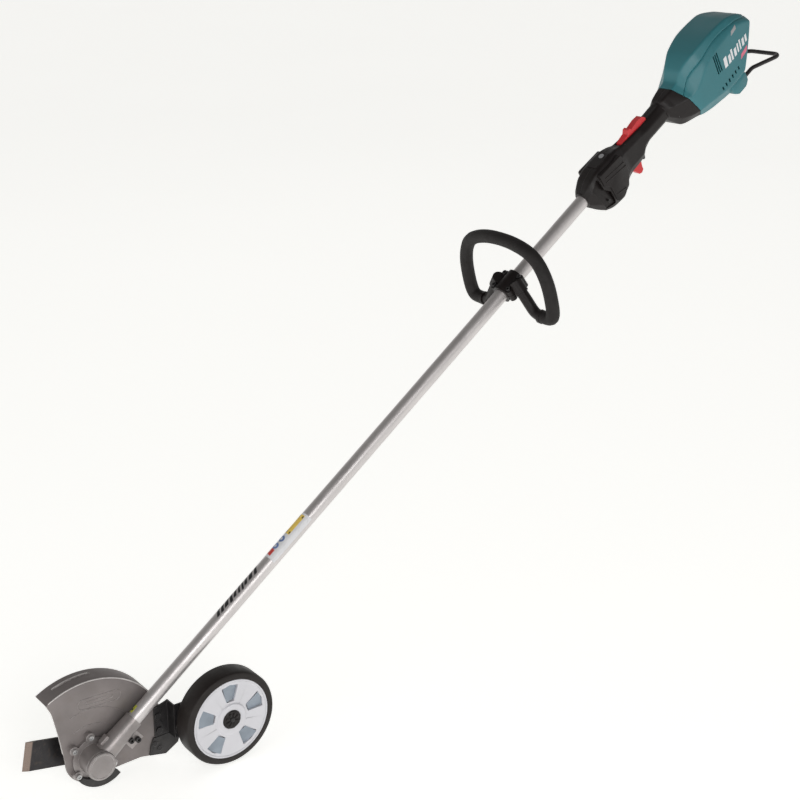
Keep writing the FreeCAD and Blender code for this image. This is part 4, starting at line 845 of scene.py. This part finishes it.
# Plain bars where the housing has its lettering: station, width, and the heights they run between.
FLANK_BARS = ((1684, 9, -9, 11), (1697, 7, -9, 7), (1707, 5, -9, 12), (1716, 7, -8, 7), (1727, 4, -7, 10),
              (1735, 4, -7, 12), (1743, 7, -6, 8), (1754, 6, -5, 8))
for index, (start, width, low, high) in enumerate(FLANK_BARS):
    corners = [(start, low), (start + width, low), (start + width + FLANK_LEAN, high),
               (start + FLANK_LEAN, high)]
    print_on_flank(f"flank_bar_{index}", corners, "ink_white")
print_on_flank("flank_stripe_small", [(1727, 33), (1744, 35), (1748, 42), (1731, 40)], "grey")
print_on_flank("flank_stripe_rose", [(1727, -24), (1750, -20), (1755, -12), (1732, -16)], "ink_pink")


# ---------------------------------------------------------------- guard relief and painted edge highlights
FRONT_HEM = ((-69.3, 116), (-66, 109), (-61.5, 100), (-57.5, 80), (-54, 62), (-51, 40), (-48.6, 22))


def guard_arc(x, radius, start, stop, count=40):
    """Points of an arc about the blade's centre, between two angles."""
    points = []
    for angle in np.linspace(math.radians(start), math.radians(stop), count):
        points.append(on_head(x, radius * math.cos(angle), radius * math.sin(angle)))
    return points


def guard_bead(name, points, radius, material="guard_rim_wear_and_highlight", closed=False):
    curve_tube(name, points, radius, material, "frame", closed=closed)


# The pale beads along the guard's corner, its roof rib and its front hem are painted highlights on those edges, as
# well as rubbed wear.
guard_bead("guard_corner_bead", guard_arc(-21.6, 134.9, -17, 119), 1.2)
guard_bead("guard_roof_bead", guard_arc(-43.5, 137.2, 84, 110.5, 14), 1.5)
guard_bead("guard_front_hem", [on_head(-20.6, y, z) for y, z in FRONT_HEM], 0.9)
for index, (radius, start, stop) in enumerate(((58, 28, 118), (86, 40, 112))):
    guard_bead(f"guard_soft_rib_{index}", guard_arc(-19.9, radius, start, stop, 24), 1.0, "guard")


def stadium(low, high, radius, count=10):
    """Points of a closed rounded slot between two places on the guard plate."""
    low, high = np.array(low, float), np.array(high, float)
    way = (high - low) / np.linalg.norm(high - low)
    side = np.array((-way[1], way[0]))
    points = []
    for centre, first in ((high, -90), (low, 90)):
        for step in range(count + 1):
            turn = math.radians(first + 180 * step / count)
            points.append(centre + radius * (way * math.cos(turn) + side * math.sin(turn)))
    return points


for name, low, high, radius, bead in (("guard_oval_relief", (-8, 97), (50, 95), 9, 0.9),
                                      ("guard_oval_line", (0, 97), (42, 95.5), 3, 0.8)):
    oval = [on_head(-19.7, *point) for point in stadium(low, high, radius)]
    guard_bead(name, oval, bead, "guard", closed=True)

# ---------------------------------------------------------------- wheel centre
STAR_POINTS = 8
_, cap_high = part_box("wheel_centre_cap")
face = (cap_high.x - WHEEL.x) * 1000


def round_outline(count, reach_at):
    """Points round a centre, at the distance that reach_at gives for each angle."""
    turns = [2 * math.pi * index / count for index in range(count)]
    return [(reach_at(turn) * math.cos(turn), reach_at(turn) * math.sin(turn)) for turn in turns]


def lobed(turn):
    return 14.6 + 2.0 * math.tanh(3.2 * math.sin(STAR_POINTS * turn))


prism("wheel_star", round_outline(96, lobed), (face - 5, face - 0.3), on_wheel, "black", "wheel",
      0.7)
for index in range(STAR_POINTS):
    turn = 2 * math.pi * (index + 0.5) / STAR_POINTS
    way = np.array((math.cos(turn), math.sin(turn)))
    side = np.array((-way[1], way[0]))
    outline = [way * 5 - side * 1.3, way * 12.5 - side * 2.2, way * 12.5 + side * 2.2, way * 5 + side * 1.3]
    prism(f"wheel_star_rib_{index}", rounded(outline, 0.9), (face - 1.5, face + 1.4), on_wheel, "black",
          "wheel", 0.5)
dome = round_outline(32, lambda turn: 4.2)
prism("wheel_star_hub", dome, (face - 1.5, face + 2.2), on_wheel, "dark_steel", "wheel", 1.2)

# ---------------------------------------------------------------- loop handle
LOOP_LEAN = math.radians(21.5)


def on_loop(across, reach):
    """A point in the plane of the loop, which leans back from its clamp."""
    return on_shaft(across, 1087 + reach * math.sin(LOOP_LEAN), 15 + reach * math.cos(LOOP_LEAN))


GRIP_HALF = ((76, -58.5), (94, -59), (106.5, -55), (111.3, -40), (112, -12), (109.5, 14), (101.5, 38),
             (88, 58), (66, 70), (36, 77), (12, 79))
ARM_HALF = ((23, -5), (33, -18), (46, -35), (58, -52), (68, -57.5), (80, -58.7))
RING_HALF = ((74.5, -58.4), (77.5, -58.6), (80.5, -58.8))
grip_line = [on_loop(*point) for point in GRIP_HALF] + [on_loop(-x, y) for x, y in reversed(GRIP_HALF)]
curve_tube("loop_grip_foam", grip_line, 12.2, "grip", "loop_handle",
           ("loop_handle_grip", "loop_handle_core"))
for side, word in ((1, "left"), (-1, "right")):
    for part, line, radius in (("loop_arm_", ARM_HALF, 10.4), ("loop_end_ring_", RING_HALF, 12.9)):
        points = [on_loop(side * x, y) for x, y in line]
        curve_tube(part + word, points, radius, "black", "loop_handle")


# ---------------------------------------------------------------- pipe and rings
def lathe_on_shaft(name, profile, material, replaces=(), sides=96):
    """A ring of any section, turned about the pipe's axis; each point is a station and a radius."""
    verts, faces, count = [], [], len(profile)
    for index in range(sides):
        turn = 2 * math.pi * index / sides
        for station, radius in profile:
            verts.append(on_shaft(radius * math.cos(turn), station, radius * math.sin(turn)))
    for index in range(sides):
        after = (index + 1) % sides
        for point in range(count):
            follow = (point + 1) % count
            faces.append((index * count + point, index * count + follow, after * count + follow,
                          after * count + point))
    return mesh_piece(name, verts, faces, material, "frame", replaces=replaces)


# Sections of the rings on the pipe: station and radius.
MOUTH = [(1302.5, 13.0), (1302.5, 15.6), (1303.4, 16.6), (1307, 16.9), (1310, 16), (1310, 13.0)]
GRIP_RING = [(1541, 19.2), (1541.6, 21.3), (1544, 22.2), (1547.6, 22), (1549, 20.2), (1549, 18.5)]
CHAMFER = 0.4
pipe_low, pipe_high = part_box("main_pipe")
pipe_start = ((pipe_low.y - HEAD.y) * 1000 - PIPE_RADIUS * OUT.y) / ALONG.y
pipe_finish = ((pipe_high.y - HEAD.y) * 1000 + PIPE_RADIUS * OUT.y) / ALONG.y
outer = [(station, PIPE_RADIUS) for station in np.linspace(pipe_start + CHAMFER, pipe_finish - CHAMFER, 60)]
inner = [(station, PIPE_BORE_RADIUS) for station in np.linspace(pipe_finish, pipe_start, 4)]
rim = PIPE_RADIUS - CHAMFER
lathe_on_shaft("drive_pipe", [(pipe_start, rim)] + outer + [(pipe_finish, rim)] + inner, "pipe",
               ("main_pipe",))
lathe_on_shaft("housing_mouth", MOUTH, "black")
lathe_on_shaft("grip_ring", GRIP_RING, "black")

# ---------------------------------------------------------------- painted shade in the wheel pockets
# Each pocket's floor slopes up from one of its sides to the other, and the darker blue-grey sheet laid on it is
# painted shade.
POCKETS = 5
POCKET_RADII = (34.5, 62.3)
POCKET_ANGLES = (4.5, 31.5)
POCKET_DEPTHS = (6.3, 1.7)
_, hub_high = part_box("wheel_hub")
hub_face = (hub_high.x - WHEEL.x) * 1000


def pocket_place(index):
    """Gives the function that places a radius, an angle and a height in one of the pockets."""
    def place(radius, angle, height):
        share = (angle - POCKET_ANGLES[0]) / (POCKET_ANGLES[1] - POCKET_ANGLES[0])
        depth = hub_face - POCKET_DEPTHS[0] + (POCKET_DEPTHS[0] - POCKET_DEPTHS[1]) * share
        turn = math.radians(angle + index * 360 / POCKETS)
        return on_wheel(depth + height, radius * math.cos(turn), radius * math.sin(turn))

    return place


(near, far), (first, last) = POCKET_RADII, POCKET_ANGLES
# Dark sheets of painted shade, one in each of the hub's pockets.
for index in range(POCKETS):
    sheet_between(f"hub_pocket_{index}", [(near, first), (far, first), (far, last), (near, last)],
                  pocket_place(index), "pocket", "wheel", -0.8)


# ---------------------------------------------------------------- floor, lights, camera
def floor():
    """A large pale floor with very slow waves of tone, so that it isn't one flat colour."""
    count, size, gap = 40, 400.0, 0.0002
    verts, faces = [], []
    for row in range(count + 1):
        for column in range(count + 1):
            verts.append((size * (column / count - 0.5), size * (row / count - 0.5), -gap))
    for row in range(count):
        for column in range(count):
            first = row * (count + 1) + column
            faces.append((first, first + 1, first + count + 2, first + count + 1))
    mesh = bpy.data.meshes.new("floor")
    mesh.from_pydata(verts, [], faces)
    pale = finish("pale_floor", (0.93, 0.93, 0.915), 0.75, spread=0.01, blotch=0.6, grain=60, depth=0.0001,
                  specular=0.2)
    shader = pale.node_tree.nodes["Principled BSDF"]
    shader.inputs["Emission Color"].default_value = (1, 1, 0.975, 1)
    shader.inputs["Emission Strength"].default_value = 0.66
    mesh.materials.append(pale)
    obj = bpy.data.objects.new("floor", mesh)
    bpy.context.scene.collection.objects.link(obj)


def soft_light(name, place, aim, size, power):
    """A rectangular lamp of a size in metres and a power in watts, turned towards aim."""
    light = bpy.data.lights.new(name, "AREA")
    light.shape = "RECTANGLE"
    light.size, light.size_y = size
    light.energy = power
    obj = bpy.data.objects.new(name, light)
    obj.location = place
    obj.rotation_euler = (Vector(aim) - Vector(place)).to_track_quat("-Z", "Y").to_euler()
    bpy.context.scene.collection.objects.link(obj)


def studio_sky():
    """A sky that is bright at the horizon and darker overhead."""
    world = bpy.data.worlds.new("studio")
    world.use_nodes = True
    sky = world.node_tree
    ray = sky.nodes.new("ShaderNodeTexCoord")
    height = sky.nodes.new("ShaderNodeSeparateXYZ")
    shade_up = sky.nodes.new("ShaderNodeValToRGB")
    bands = ((0.0, (1.2, 1.2, 1.18, 1)), (0.2, (0.66, 0.655, 0.645, 1)), (0.85, (0.16, 0.155, 0.15, 1)))
    shade_up.color_ramp.elements.new(0.5)
    for element, (position, colour) in zip(shade_up.color_ramp.elements, bands):
        element.position = position
        element.color = colour
    sky.links.new(ray.outputs["Generated"], height.inputs["Vector"])
    sky.links.new(height.outputs["Z"], shade_up.inputs["Fac"])
    sky.links.new(shade_up.outputs["Color"], sky.nodes["Background"].inputs["Color"])
    sky.nodes["Background"].inputs["Strength"].default_value = 0.8
    bpy.context.scene.world = world


floor()
studio_sky()
soft_light("key", (3.6, -1.6, 1.9), (0, 0, 0.5), (2.0, 2.0), 44)
soft_light("fill", (1.0, -4.2, 1.4), (0, -0.3, 0.4), (2.0, 1.6), 14)
soft_light("back", (-3.0, 2.0, 3.4), (0, 0, 0.6), (2.4, 2.4), 5)

camera = bpy.data.cameras.new("camera")
camera.lens = 67.5
camera.sensor_width = 36
camera.clip_end = 1000
eye = bpy.data.objects.new("camera", camera)
eye.location = (1.951, -1.6001, 1.4172)
eye.rotation_euler = Euler((math.radians(70.5), 0, math.radians(52.32)))
bpy.context.scene.collection.objects.link(eye)
bpy.context.scene.camera = eye
bpy.context.scene.view_settings.view_transform = "Standard"
